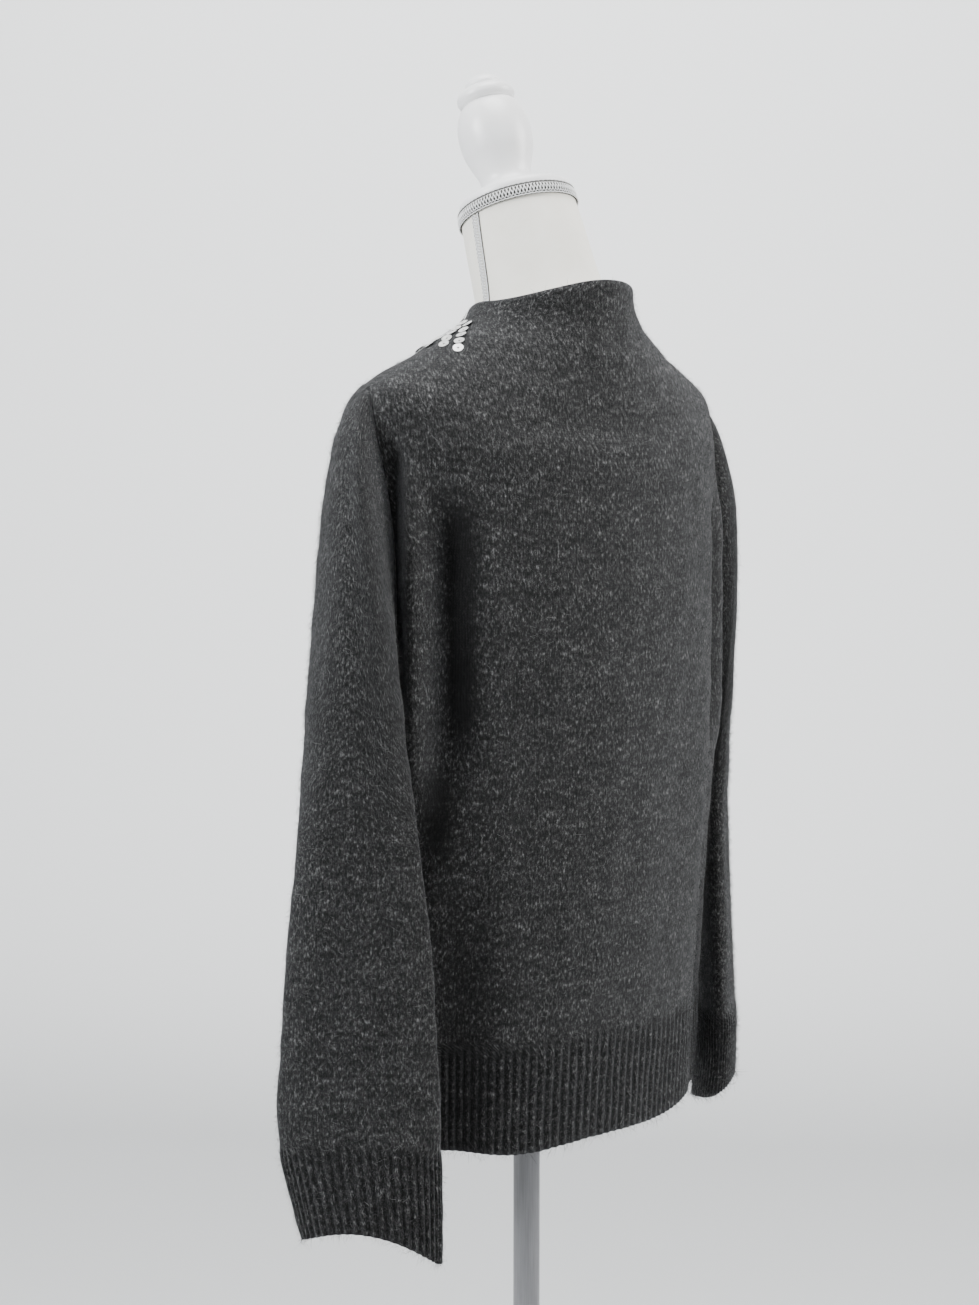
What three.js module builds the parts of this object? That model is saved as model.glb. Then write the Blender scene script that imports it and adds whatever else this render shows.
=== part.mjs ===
// A knitted sweater with a grown-on funnel neck and long empty sleeves, standing on a
// limbless dress form with a turned finial, a pole and a round base plate.
//
// Millimetres, +Z up. The front of the garment faces -Y and the wearer's left is +X.
// The origin is the middle of the underside of the base plate, on the pole's axis.

import * as THREE from 'three';

// ---------------------------------------------------------------- driving sizes

const WALL = 2.5;              // thickness of the knitted cloth
const SEAM_GAP = 0.3;          // what neighbouring pieces stay apart at a seam
const SEAT_GAP = 0.35;         // between the cloth and the shoulders that carry it

const UNDERARM_HEIGHT = 1015;  // bottom of the armhole, at the side seam
const SHOULDER_HEIGHT = 1312;  // top of the armhole, at the end of the shoulder seam
const ARMHOLE_DEPTH = 18;      // degrees that the armhole cuts into each panel
const SEAM_BLEND = 2;           // degrees of armhole cut after which its edge is fully mitred
const ARMHOLE_ROWS = 15;       // mesh rows of a panel along one side of the armhole

const RIB_HEIGHT = 1.2;        // how far a rib stands out of the plain wall
const HEM_RIBS = 70;           // ribs on each panel
const CUFF_RIBS = 48;          // ribs round each cuff
const HEM_TILT = 4;            // how much the hem rides up at the wearer's right side
const RIB_FADE = 8;            // height over which the ribs run out into plain knit

const SIDE = 90;               // degrees from the centre back to the side seam
const SLEEVE_COLUMNS = 2 * ARMHOLE_ROWS;

const NECK_LEAN = 20;          // degrees that the neck and the finial lean forward
const NECK_TOP = { y: -14, z: 1454 };
const FINIAL_OFFSET = 4;        // how far forward of the cap's middle the finial stands
const POLE_RADIUS = 10.3;
const BASE_RADIUS = 150;
const BASE_THICKNESS = 8;
const TORSO_BOTTOM = 792;

// Rings of the outer face of the cloth, from the hem to the edge of the funnel neck.
// A ring is an ellipse about (0, centreY) whose height runs from `side` at the side seam
// to `backZ` at the centre back and `frontZ` at the centre front.
const BODY_RINGS = [
  { side: 760, backZ: 760, frontZ: 760, halfWidth: 158, back: 92, front: 92, centreY: 0 },
  { side: 842, backZ: 842, frontZ: 842, halfWidth: 161, back: 98, front: 98, centreY: 0 },
  { side: 890, backZ: 890, frontZ: 890, halfWidth: 163, back: 102, front: 102, centreY: 0 },
  { side: 945, backZ: 945, frontZ: 945, halfWidth: 166, back: 106, front: 107, centreY: 0 },
  { side: 1015, backZ: 1015, frontZ: 1015, halfWidth: 170, back: 110, front: 113, centreY: 0 },
  { side: 1100, backZ: 1098, frontZ: 1098, halfWidth: 171, back: 112, front: 118, centreY: 0 },
  { side: 1180, backZ: 1172, frontZ: 1168, halfWidth: 171, back: 111, front: 113, centreY: 0 },
  { side: 1250, backZ: 1236, frontZ: 1222, halfWidth: 171, back: 107, front: 102, centreY: 1 },
  { side: 1288, backZ: 1266, frontZ: 1246, halfWidth: 169, back: 102, front: 95, centreY: 3 },
  { side: 1312, backZ: 1287, frontZ: 1264, halfWidth: 161, back: 93, front: 88, centreY: 5 },
  { side: 1326, backZ: 1306, frontZ: 1281, halfWidth: 139, back: 89, front: 83, centreY: 7 },
  { side: 1338, backZ: 1323, frontZ: 1297, halfWidth: 115, back: 83, front: 76, centreY: 10 },
  { side: 1349, backZ: 1337, frontZ: 1311, halfWidth: 96, back: 78, front: 70, centreY: 14 },
  { side: 1357, backZ: 1349, frontZ: 1323, halfWidth: 81, back: 72, front: 63, centreY: 17 },
  { side: 1364, backZ: 1364, frontZ: 1333, halfWidth: 70, back: 68, front: 61, centreY: 19 },
  { side: 1371, backZ: 1379, frontZ: 1343, halfWidth: 64, back: 67, front: 59, centreY: 20 },
  { side: 1377, backZ: 1392, frontZ: 1352, halfWidth: 61, back: 67, front: 58, centreY: 21 },
];

// Folds of the body cloth. `angle` is degrees from the centre back, positive towards the
// wearer's left, `width` the half width in degrees, `height` out (or, negative, in).
const BODY_FOLDS = [
  { angle: 64.5, width: 4.8, height: 12, top: 1290, bottom: 975, fade: 80 },
  { angle: 53.5, width: 5.8, height: -13, top: 1262, bottom: 1000, fade: 70 },
  { angle: 72, width: 4.0, height: -8, top: 1300, bottom: 1025, fade: 50 },
  { angle: -65, width: 5.5, height: 9, top: 1275, bottom: 990, fade: 80 },
  { angle: -55, width: 6.0, height: -9, top: 1250, bottom: 1010, fade: 70 },
  { angle: 114, width: 6.0, height: 5, top: 1270, bottom: 1000, fade: 70 },
  { angle: 128, width: 6.5, height: -9, top: 1255, bottom: 990, fade: 70 },
  { angle: -114, width: 5.5, height: 7, top: 1275, bottom: 1005, fade: 70 },
  { angle: -127, width: 6.0, height: -8, top: 1245, bottom: 1000, fade: 70 },
  { angle: -68, width: 7, height: 2.5, top: 1010, bottom: 700, fade: 80 },
  { angle: 8, width: 9, height: 1.5, top: 1180, bottom: 820, fade: 120 },
  { angle: -22, width: 8, height: -1.5, top: 1150, bottom: 800, fade: 120 },
  { angle: 160, width: 9, height: 3, top: 1060, bottom: 800, fade: 110 },
  { angle: -158, width: 8, height: 3, top: 1040, bottom: 790, fade: 110 },
  { angle: 180, width: 8, height: -3, top: 1050, bottom: 820, fade: 100 },
];

// How the sleeve leaves the armhole. `around` is degrees round the armhole from the
// underarm over the back. The cloth heads off the seam by `outX`, `outY`, `outZ`, and comes
// to the elbow ring from `rise` above it, shifted there by `leanX` and `leanY`.
const SLEEVE_CAP = [
  { around: 0, outX: 8, outY: 4, outZ: -6, leanX: 0, leanY: 0, rise: 8 },
  { around: 45, outX: 14, outY: 10, outZ: -4, leanX: 2, leanY: -2, rise: 20 },
  { around: 90, outX: 28, outY: 23, outZ: 2, leanX: 10, leanY: -7, rise: 90 },
  { around: 135, outX: 38, outY: 23, outZ: 4, leanX: 13, leanY: -4, rise: 140 },
  { around: 180, outX: 35, outY: 6, outZ: -9, leanX: 4, leanY: 1, rise: 210 },
  { around: 225, outX: 25, outY: 2, outZ: 2, leanX: -5, leanY: 4, rise: 150 },
  { around: 270, outX: 12, outY: 1, outZ: 2, leanX: -4, leanY: 3, rise: 80 },
  { around: 315, outX: 8, outY: 2, outZ: -4, leanX: -2, leanY: 2, rise: 20 },
  { around: 360, outX: 8, outY: 4, outZ: -6, leanX: 0, leanY: 0, rise: 8 },
];

// Flattened rings of the hanging sleeve below the elbow ring, as for the wearer's left.
// `heading` is the direction of the flat side, in degrees from +X, towards the back edge;
// `slant` raises the back edge of the ring and lowers its front edge, `tip` raises its
// outer face and lowers its inner one, and `arch` raises the middle of both faces.
const LEFT_SLEEVE_RINGS = [
  { z: 985, x: 200, y: 39, halfLength: 43, halfThick: 16, heading: 137, slant: 0, tip: 0, arch: 0 },
  { z: 947, x: 200, y: 39, halfLength: 47.5, halfThick: 16, heading: 137, slant: 0, tip: 0, arch: 0 },
  { z: 911, x: 200, y: 39, halfLength: 51, halfThick: 16, heading: 137, slant: 0, tip: 0, arch: 0 },
  { z: 874, x: 200, y: 39, halfLength: 53, halfThick: 16, heading: 137, slant: 0, tip: 0, arch: 0 },
  { z: 840, x: 200, y: 39, halfLength: 55.5, halfThick: 16, heading: 137, slant: 0, tip: 0, arch: 2 },
  { z: 806, x: 200, y: 39, halfLength: 58, halfThick: 16, heading: 137, slant: 0, tip: 0, arch: 4 },
  { z: 773, x: 199, y: 40, halfLength: 57, halfThick: 16.5, heading: 137, slant: -2, tip: 0, arch: 8 },
  { z: 740, x: 196.5, y: 42.5, halfLength: 54, halfThick: 18, heading: 137, slant: -5, tip: 0, arch: 13 },
  { z: 700, x: 193.5, y: 45.5, halfLength: 49.5, halfThick: 20, heading: 137, slant: -9, tip: 0, arch: 17 },
];

const RIGHT_SLEEVE_RINGS = [
  { z: 985, x: 197, y: 10, halfLength: 44, halfThick: 12, heading: 133, slant: 0, tip: 0, arch: 0 },
  { z: 947, x: 197, y: 11, halfLength: 48, halfThick: 12.5, heading: 133, slant: 0, tip: 0, arch: 0 },
  { z: 911, x: 196, y: 13, halfLength: 51, halfThick: 13, heading: 133, slant: 0, tip: 0, arch: 0 },
  { z: 874, x: 195, y: 16, halfLength: 53, halfThick: 13.5, heading: 133, slant: 0, tip: 0, arch: 0 },
  { z: 840, x: 194, y: 18, halfLength: 55, halfThick: 14, heading: 133, slant: 0, tip: 0, arch: 0 },
  { z: 815, x: 194, y: 19, halfLength: 57, halfThick: 14.5, heading: 133, slant: 0, tip: 2, arch: 1 },
  { z: 795, x: 194, y: 19, halfLength: 57, halfThick: 15, heading: 133, slant: 0, tip: 5, arch: 2 },
  { z: 770, x: 193, y: 19, halfLength: 55, halfThick: 15.5, heading: 133, slant: 0, tip: 9, arch: 4 },
  { z: 742, x: 192, y: 18, halfLength: 50, halfThick: 16, heading: 133, slant: 3, tip: 12, arch: 6 },
];

// Long soft folds of the sleeves: `around` in degrees as in SLEEVE_CAP, `width` the half
// width in degrees, between the heights `top` and `bottom`.
const LEFT_SLEEVE_FOLDS = [
  { around: 100, width: 14, height: 2.5, top: 1200, bottom: 760, fade: 120 },
  { around: 150, width: 16, height: -2.5, top: 1180, bottom: 780, fade: 120 },
  { around: 215, width: 18, height: 2, top: 1120, bottom: 820, fade: 120 },
];

const RIGHT_SLEEVE_FOLDS = [
  { around: 120, width: 14, height: 2, top: 1190, bottom: 800, fade: 120 },
  { around: 205, width: 16, height: -2, top: 1150, bottom: 800, fade: 120 },
];

// Rings of the dress form below the shoulders, on which the cloth does not rest.
const FORM_RINGS = [
  { side: 792, backZ: 792, frontZ: 792, halfWidth: 138, back: 80, front: 78, centreY: 0 },
  { side: 826, backZ: 826, frontZ: 826, halfWidth: 144, back: 84, front: 82, centreY: 0 },
  { side: 875, backZ: 875, frontZ: 875, halfWidth: 136, back: 82, front: 82, centreY: 0 },
  { side: 950, backZ: 950, frontZ: 950, halfWidth: 116, back: 72, front: 82, centreY: 0 },
  { side: 1015, backZ: 1015, frontZ: 1015, halfWidth: 125, back: 80, front: 93, centreY: 0 },
  { side: 1095, backZ: 1095, frontZ: 1095, halfWidth: 141, back: 91, front: 107, centreY: 0 },
  { side: 1170, backZ: 1165, frontZ: 1160, halfWidth: 145, back: 94, front: 101, centreY: 0 },
  { side: 1240, backZ: 1228, frontZ: 1214, halfWidth: 148, back: 95, front: 92, centreY: 1 },
  { side: 1284, backZ: 1262, frontZ: 1242, halfWidth: 151, back: 92, front: 86, centreY: 3 },
];

// Rings of the form's neck, square to its leaning axis; `along` is from the neck's top.
const NECK_RINGS = [
  { along: -96, radius: 52.5 },
  { along: -78, radius: 48.5 },
  { along: -58, radius: 46.8 },
  { along: -34, radius: 45.6 },
  { along: -4.8, radius: 43.6 },
];

const FINIAL_PROFILE = [
  { along: 5.3, radius: 28 },
  { along: 8, radius: 28.5 },
  { along: 10, radius: 26.5 },
  { along: 13, radius: 21.5 },
  { along: 18, radius: 19.5 },
  { along: 24, radius: 20.5 },
  { along: 32, radius: 23.5 },
  { along: 42, radius: 26.7 },
  { along: 54, radius: 28 },
  { along: 64, radius: 27.2 },
  { along: 73, radius: 24.5 },
  { along: 79, radius: 20.5 },
  { along: 80, radius: 19 },
  { along: 81.5, radius: 20.8 },
  { along: 85, radius: 22.3 },
  { along: 89, radius: 21.6 },
  { along: 92, radius: 18.5 },
  { along: 93.5, radius: 13.6 },
  { along: 96, radius: 13.9 },
  { along: 99.5, radius: 12.2 },
  { along: 102.5, radius: 7.5 },
];

// ---------------------------------------------------------------- small helpers

const radians = (degrees) => (degrees * Math.PI) / 180;
const mix = (a, b, t) => a + (b - a) * t;
const clamp = (value, low, high) => Math.min(high, Math.max(low, value));

function smoothStep(value) {
  const t = clamp(value, 0, 1);
  return t * t * (3 - 2 * t);
}

// Smooth value of one column of a table where its `key` column is `value`.
function column(table, key, name, value) {
  const last = table.length - 1;
  const rising = table[last][key] > table[0][key];
  let i = 0;
  while (i < last - 1 && (rising ? value > table[i + 1][key] : value < table[i + 1][key])) {
    i += 1;
  }
  const before = table[Math.max(i - 1, 0)];
  const from = table[i];
  const to = table[i + 1];
  const after = table[Math.min(i + 2, last)];
  const span = to[key] - from[key];
  const t = clamp((value - from[key]) / span, 0, 1);
  const slopeFrom = ((to[name] - before[name]) / (to[key] - before[key])) * span;
  const slopeTo = ((after[name] - from[name]) / (after[key] - from[key])) * span;
  const t2 = t * t;
  const t3 = t2 * t;
  return (2 * t3 - 3 * t2 + 1) * from[name] + (t3 - 2 * t2 + t) * slopeFrom
    + (3 * t2 - 2 * t3) * to[name] + (t3 - t2) * slopeTo;
}

// A long fold's strength at a height, running out softly over `fade` at both ends.
function foldStrength(fold, z) {
  return smoothStep((fold.top - z) / fold.fade) * smoothStep((z - fold.bottom) / fold.fade);
}

function bell(distance, halfWidth) {
  return Math.exp(-((distance / halfWidth) ** 2));
}

// ---------------------------------------------------------------- body surface

// A point of an elliptic ring with different depths to the back and to the front.
function ringPoint(table, side, angle) {
  const turn = radians(angle);
  const toBack = Math.cos(turn) >= 0;
  const centreY = column(table, 'side', 'centreY', side);
  const halfWidth = column(table, 'side', 'halfWidth', side);
  const depth = column(table, 'side', toBack ? 'back' : 'front', side);
  const endHeight = column(table, 'side', toBack ? 'backZ' : 'frontZ', side);
  const x = halfWidth * Math.sin(turn);
  const y = centreY + depth * Math.cos(turn);
  const z = mix(side, endHeight, Math.cos(turn) ** 2);
  return new THREE.Vector3(x, y, z);
}

// The level outward direction of that ring.
function ringNormal(table, side, angle) {
  const turn = radians(angle);
  const halfWidth = column(table, 'side', 'halfWidth', side);
  const depth = column(table, 'side', Math.cos(turn) >= 0 ? 'back' : 'front', side);
  return new THREE.Vector3(Math.sin(turn) / halfWidth, Math.cos(turn) / depth, 0).normalize();
}

function angleBetween(a, b) {
  return Math.abs(((a - b + 540) % 360) - 180);
}

// A point of the outer face of the sweater's body, with its folds.
function bodyPoint(side, angle) {
  const point = ringPoint(BODY_RINGS, side, angle);
  let push = 0;
  for (const fold of BODY_FOLDS) {
    push += fold.height * bell(angleBetween(angle, fold.angle), fold.width) * foldStrength(fold, side);
  }
  point.addScaledVector(ringNormal(BODY_RINGS, side, angle), push);
  const nearHem = 1 - smoothStep((side - BODY_RINGS[0].side) / 160);
  return point.setZ(point.z - HEM_TILT * nearHem * Math.sin(radians(angle)));
}

// How far the armhole cuts in from the side seam, in degrees, at a height.
function armholeCut(side) {
  const middle = (UNDERARM_HEIGHT + SHOULDER_HEIGHT) / 2;
  const reach = (SHOULDER_HEIGHT - UNDERARM_HEIGHT) / 2;
  const level = clamp((side - middle) / reach, -1, 1);
  return ARMHOLE_DEPTH * Math.sqrt(1 - level * level);
}

function armholeHeight(turn) {
  const middle = (UNDERARM_HEIGHT + SHOULDER_HEIGHT) / 2;
  const reach = (SHOULDER_HEIGHT - UNDERARM_HEIGHT) / 2;
  return middle - reach * Math.cos(radians(turn));
}

// ---------------------------------------------------------------- walls from rows

// Collects triangles for one closed body.
class Body {
  constructor() {
    this.points = [];
    this.faces = [];
  }

  // Adds a row of points and gives their numbers.
  row(points) {
    const first = this.points.length;
    this.points.push(...points);
    return points.map((_, i) => first + i);
  }

  face(a, b, c, flip) {
    this.faces.push(flip ? [a, c, b] : [a, b, c]);
  }

  // Joins two rows, which may have different numbers of points, by their shares of length.
  strip(lower, upper, closed, flip) {
    const lowCount = closed ? lower.length : lower.length - 1;
    const highCount = closed ? upper.length : upper.length - 1;
    let i = 0;
    let j = 0;
    while (i < lowCount || j < highCount) {
      const a = lower[i % lower.length];
      const b = upper[j % upper.length];
      const stepLow = j >= highCount || (i < lowCount && (i + 1) / lowCount <= (j + 1) / highCount);
      if (stepLow) {
        this.face(a, lower[(i + 1) % lower.length], b, flip);
        i += 1;
      } else {
        this.face(a, upper[(j + 1) % upper.length], b, flip);
        j += 1;
      }
    }
  }

  // Closes a ring with a fan about its middle.
  fan(ring, flip) {
    const middle = new THREE.Vector3();
    ring.forEach((index) => middle.add(this.points[index]));
    const [centre] = this.row([middle.divideScalar(ring.length)]);
    ring.forEach((index, i) => this.face(centre, index, ring[(i + 1) % ring.length], flip));
  }

  geometry() {
    const geometry = new THREE.BufferGeometry();
    const numbers = this.points.flatMap((point) => [point.x, point.y, point.z]);
    geometry.setAttribute('position', new THREE.Float32BufferAttribute(numbers, 3));
    geometry.setIndex(this.faces.flat());
    geometry.computeVertexNormals();
    return geometry;
  }
}

// The outward direction of a surface given as a function of two values.
function surfaceNormal(surface, u, v, stepU, stepV) {
  const alongU = surface(u + stepU, v).sub(surface(u - stepU, v));
  const alongV = surface(u, v + stepV).sub(surface(u, v - stepV));
  return alongU.cross(alongV).normalize();
}

// ---------------------------------------------------------------- front and back panels

// Places across a panel, from its middle (0) to its edge (1), closer where it folds.
const ACROSS = [0, 0.1, 0.2, 0.3, 0.4, 0.49, 0.55, 0.61, 0.67, 0.73, 0.79, 0.85, 0.91, 0.96, 1];
const PANEL_COLUMNS = [...ACROSS.slice(1).reverse().map((share) => -share), ...ACROSS];

function panelRows() {
  const rows = [842, 880, 915, 950, 985];
  for (let i = 0; i <= ARMHOLE_ROWS; i += 1) {
    rows.push(armholeHeight((180 * i) / ARMHOLE_ROWS));
  }
  rows.push(...BODY_RINGS.map((ring) => ring.side).filter((side) => side > SHOULDER_HEIGHT));
  return rows;
}

// A point of a panel: `share` runs from -1 to 1 between its two side edges, and `middle`
// is the angle of its centre line, 0 for the back and 180 for the front.
function panelPoint(middle, side, share) {
  const seam = SEAM_GAP / 2 / column(BODY_RINGS, 'side', 'halfWidth', side);
  const reach = SIDE * share - armholeCut(side) * share ** 3 - (share * seam * 180) / Math.PI;
  return bodyPoint(side, middle + reach);
}

function bodyNormal(side, angle) {
  const surface = (turn, height) => bodyPoint(height, turn);
  return surfaceNormal(surface, angle, clamp(side, 763, 1373), -0.6, 2);
}

// The wall's direction at an edge of a panel. In the armhole it is the plain ring's, for
// the panel and for the sleeve, so that the seam between them is mitred.
function edgeDirection(side, angle) {
  const plain = clamp(armholeCut(side) / SEAM_BLEND, 0, 1);
  return bodyNormal(side, angle).lerp(ringNormal(BODY_RINGS, side, angle), plain).normalize();
}

function panelWallDirection(middle, side, share) {
  const angle = middle + SIDE * share - armholeCut(side) * share ** 3;
  const blend = smoothStep((Math.abs(share) - 0.86) / 0.14);
  return bodyNormal(side, angle).lerp(edgeDirection(side, angle), blend).normalize();
}

function panel(middle) {
  const body = new Body();
  const rows = panelRows();
  const outer = (side, shares) => shares.map((share) => panelPoint(middle, side, share));
  const inner = (side, shares) => shares.map((share) => {
    const direction = panelWallDirection(middle, side, share);
    return panelPoint(middle, side, share).addScaledVector(direction, -WALL);
  });

  // Outer face: plain rows above, ribs below.
  const outerRows = rows.map((side) => body.row(outer(side, PANEL_COLUMNS)));
  for (let i = 1; i < rows.length; i += 1) {
    body.strip(outerRows[i - 1], outerRows[i], false, true);
  }
  const ribbed = (side) => {
    const points = [];
    for (let i = 0; i <= 3 * HEM_RIBS; i += 1) {
      const share = -1 + (2 * i) / (3 * HEM_RIBS);
      const raised = i % 3 === 0 ? 0 : RIB_HEIGHT;
      const direction = panelWallDirection(middle, side, share);
      points.push(panelPoint(middle, side, share).addScaledVector(direction, raised));
    }
    return points;
  };
  const ribTop = body.row(ribbed(rows[0] - RIB_FADE));
  const ribFoot = body.row(ribbed(BODY_RINGS[0].side));
  body.strip(ribTop, outerRows[0], false, true);
  body.strip(ribFoot, ribTop, false, true);

  // Inner face: every second row below the armhole, then every row.
  const chosen = rows.filter((side, i) => side >= UNDERARM_HEIGHT || i % 2 === 1);
  const innerSides = [BODY_RINGS[0].side, ...chosen];
  const innerRows = innerSides.map((side) => body.row(inner(side, PANEL_COLUMNS)));
  for (let i = 1; i < innerSides.length; i += 1) {
    body.strip(innerRows[i - 1], innerRows[i], false, false);
  }

  // The four cut edges.
  const outerAll = [ribFoot, ribTop, ...outerRows];
  const sideEdge = (take, flip) => {
    const [outside, inside] = [outerAll.map(take), innerRows.map(take)];
    const shared = rows.filter((side) => side >= UNDERARM_HEIGHT).length;
    const [outsideStart, insideStart] = [outside.length - shared, inside.length - shared];
    body.strip(outside.slice(0, outsideStart + 1), inside.slice(0, insideStart + 1), false, flip);
    body.strip(outside.slice(outsideStart), inside.slice(insideStart), false, flip);
  };
  body.strip(ribFoot, innerRows[0], false, false);
  body.strip(innerRows[innerRows.length - 1], outerRows[outerRows.length - 1], false, false);
  sideEdge((row) => row[0], true);
  sideEdge((row) => row[row.length - 1], false);
  return body.geometry();
}

// ---------------------------------------------------------------- sleeves

// A point of the armhole seam on the sleeve's side, `around` degrees from the underarm,
// as for the wearer's left. `hand` is 1 for the left armhole and -1 for the right one.
function armholePoint(around, hand) {
  const clear = SEAM_GAP * 4.5;
  const middle = (UNDERARM_HEIGHT + SHOULDER_HEIGHT) / 2;
  const reach = (SHOULDER_HEIGHT - UNDERARM_HEIGHT) / 2 - clear;
  const side = middle - reach * Math.cos(radians(around));
  const angle = SIDE - (ARMHOLE_DEPTH - 0.3) * Math.sin(radians(around));
  const point = bodyPoint(side, hand * angle);
  return { point: point.setX(hand * point.x), side, angle };
}

// A point of the flattened hanging part of a sleeve.
function hangingPoint(rings, height, around) {
  const take = (name) => column(rings, 'z', name, height);
  const turn = radians(around);
  const heading = radians(take('heading'));
  const along = take('halfLength') * Math.sin(turn);
  const across = -take('halfThick') * Math.cos(turn);
  const outward = heading - Math.PI / 2;
  const x = take('x') + along * Math.cos(heading) + across * Math.cos(outward);
  const y = take('y') + along * Math.sin(heading) + across * Math.sin(outward);
  const raised = take('slant') * Math.sin(turn) - take('tip') * Math.cos(turn);
  return new THREE.Vector3(x, y, height + raised + take('arch') * Math.cos(turn) ** 2);
}

// A point of the sleeve: `down` runs from 0 at the armhole to 1 at the elbow ring, and
// beyond that to 2 at the edge of the cuff.
function sleevePoint({ rings, folds, hand }, down, around) {
  const elbow = rings[0].z;
  const cuff = rings[rings.length - 1].z;
  let point;
  if (down <= 1) {
    const start = armholePoint(around, hand).point;
    const end = hangingPoint(rings, elbow, around);
    const take = (name) => column(SLEEVE_CAP, 'around', name, around);
    const leave = start.clone().add(new THREE.Vector3(take('outX'), take('outY'), take('outZ')));
    const arrive = end.clone().add(new THREE.Vector3(take('leanX'), take('leanY'), take('rise')));
    point = new THREE.CubicBezierCurve3(start, leave, arrive, end).getPoint(clamp(down, 0, 1));
  } else {
    point = hangingPoint(rings, mix(elbow, cuff, down - 1), around);
  }
  let push = 0;
  for (const fold of folds) {
    push += fold.height * bell(angleBetween(around, fold.around), fold.width) * foldStrength(fold, point.z);
  }
  const away = point.clone().sub(hangingPoint(rings, elbow, around + 180)).setZ(0).normalize();
  return point.addScaledVector(away, push * smoothStep(down / 0.3));
}

function sleeveWallDirection(make, down, around) {
  const inside = clamp(down, 0.02, 1.98);
  const surface = (turn, share) => sleevePoint(make, share, turn);
  const free = surfaceNormal(surface, around, inside, -1.5, 0.015).negate();
  const { side, angle } = armholePoint(around, make.hand);
  const seam = edgeDirection(side, make.hand * angle);
  seam.setX(make.hand * seam.x);
  return free.lerp(seam, smoothStep(1 - down / 0.06)).normalize();
}

function sleeve(make) {
  const { rings } = make;
  const mirrored = make.hand < 0;
  const body = new Body();
  const turns = Array.from({ length: SLEEVE_COLUMNS }, (_, i) => (360 * i) / SLEEVE_COLUMNS);
  const height = rings[0].z - rings[rings.length - 1].z;
  const cuffStart = 2 - 76 / height;
  const ribStart = cuffStart + RIB_FADE / height;
  const downs = [0, 0.09, 0.18, 0.28, 0.39, 0.5, 0.62, 0.74, 0.87, 1, 1.14, 1.28, 1.42, 1.56, cuffStart];
  const place = (point) => (mirrored ? new THREE.Vector3(-point.x, point.y, point.z) : point);
  const at = (down, around, out) => {
    const direction = sleeveWallDirection(make, down, around);
    return place(sleevePoint(make, down, around).addScaledVector(direction, out));
  };

  const outerRows = downs.map((down) => body.row(turns.map((turn) => at(down, turn, 0))));
  for (let i = 1; i < downs.length; i += 1) {
    body.strip(outerRows[i - 1], outerRows[i], true, mirrored);
  }
  const ribbed = (down) => {
    const points = [];
    for (let i = 0; i < 3 * CUFF_RIBS; i += 1) {
      const raised = i % 3 === 0 ? 0 : RIB_HEIGHT;
      points.push(at(down, (360 * i) / (3 * CUFF_RIBS), raised));
    }
    return points;
  };
  const ribTop = body.row(ribbed(ribStart));
  const ribFoot = body.row(ribbed(2));
  body.strip(outerRows[outerRows.length - 1], ribTop, true, mirrored);
  body.strip(ribTop, ribFoot, true, mirrored);

  const innerDowns = downs.filter((down, i) => i % 2 === 1 || i === 0);
  innerDowns.push(2);
  const innerRows = innerDowns.map((down) => body.row(turns.map((turn) => at(down, turn, -WALL))));
  for (let i = 1; i < innerDowns.length; i += 1) {
    body.strip(innerRows[i - 1], innerRows[i], true, !mirrored);
  }
  body.strip(innerRows[0], outerRows[0], true, mirrored);
  body.strip(ribFoot, innerRows[innerRows.length - 1], true, mirrored);
  return body.geometry();
}

// ---------------------------------------------------------------- dress form

// Jersey-covered torso and neck. At the shoulders it follows the inside of the cloth,
// which rests there; elsewhere it is a plain figure inside the sweater.
function torso() {
  const body = new Body();
  const shares = ACROSS.filter((_, i) => i % 2 === 0);
  const quarter = shares.map((share) => share * SIDE);
  const back = [...quarter.slice(1).reverse().map((angle) => -angle), ...quarter];
  const angles = [...back, ...back.slice(1, -1).map((angle) => 180 + angle)];
  const rows = [];
  for (const ring of FORM_RINGS) {
    rows.push(angles.map((angle) => ringPoint(FORM_RINGS, ring.side, angle)));
  }
  const shoulderRings = BODY_RINGS.map((ring) => ring.side);
  for (const side of shoulderRings.filter((height) => height >= SHOULDER_HEIGHT && height < 1360)) {
    const surface = (turn, height) => bodyPoint(height, turn);
    rows.push(angles.map((angle) => {
      const out = surfaceNormal(surface, angle, side, -0.6, 2);
      return bodyPoint(side, angle).addScaledVector(out, -(WALL + SEAT_GAP));
    }));
  }
  for (const ring of NECK_RINGS) {
    rows.push(angles.map((angle) => neckPoint(ring.along, ring.radius, angle)));
  }
  const numbered = rows.map((points) => body.row(points));
  for (let i = 1; i < numbered.length; i += 1) {
    body.strip(numbered[i - 1], numbered[i], true, true);
  }
  body.fan(numbered[0], false);
  body.fan(numbered[numbered.length - 1], true);
  return body.geometry();
}

// A point of a ring square to the leaning axis of the neck.
function neckPoint(along, radius, angle) {
  const turn = radians(angle);
  const lean = radians(NECK_LEAN);
  const toBack = radius * Math.cos(turn);
  const y = NECK_TOP.y - along * Math.sin(lean) + toBack * Math.cos(lean);
  const z = NECK_TOP.z + along * Math.cos(lean) + toBack * Math.sin(lean);
  return new THREE.Vector3(radius * Math.sin(turn), y, z);
}

// Puts a turned piece, made about +Z, on the leaning axis of the neck.
function leaning(geometry) {
  geometry.rotateX(radians(NECK_LEAN));
  geometry.translate(0, NECK_TOP.y, NECK_TOP.z);
  return geometry;
}

// A solid of revolution about +Z from radius and height pairs.
function turned(profile, segments) {
  const geometry = new THREE.LatheGeometry(profile.map(([r, z]) => new THREE.Vector2(r, z)), segments);
  geometry.rotateX(Math.PI / 2);
  return geometry;
}

function neckBraid() {
  return leaning(turned([[45, -12], [46.6, -12], [46.2, -2], [44.6, -2], [45, -12]], 40));
}

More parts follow.
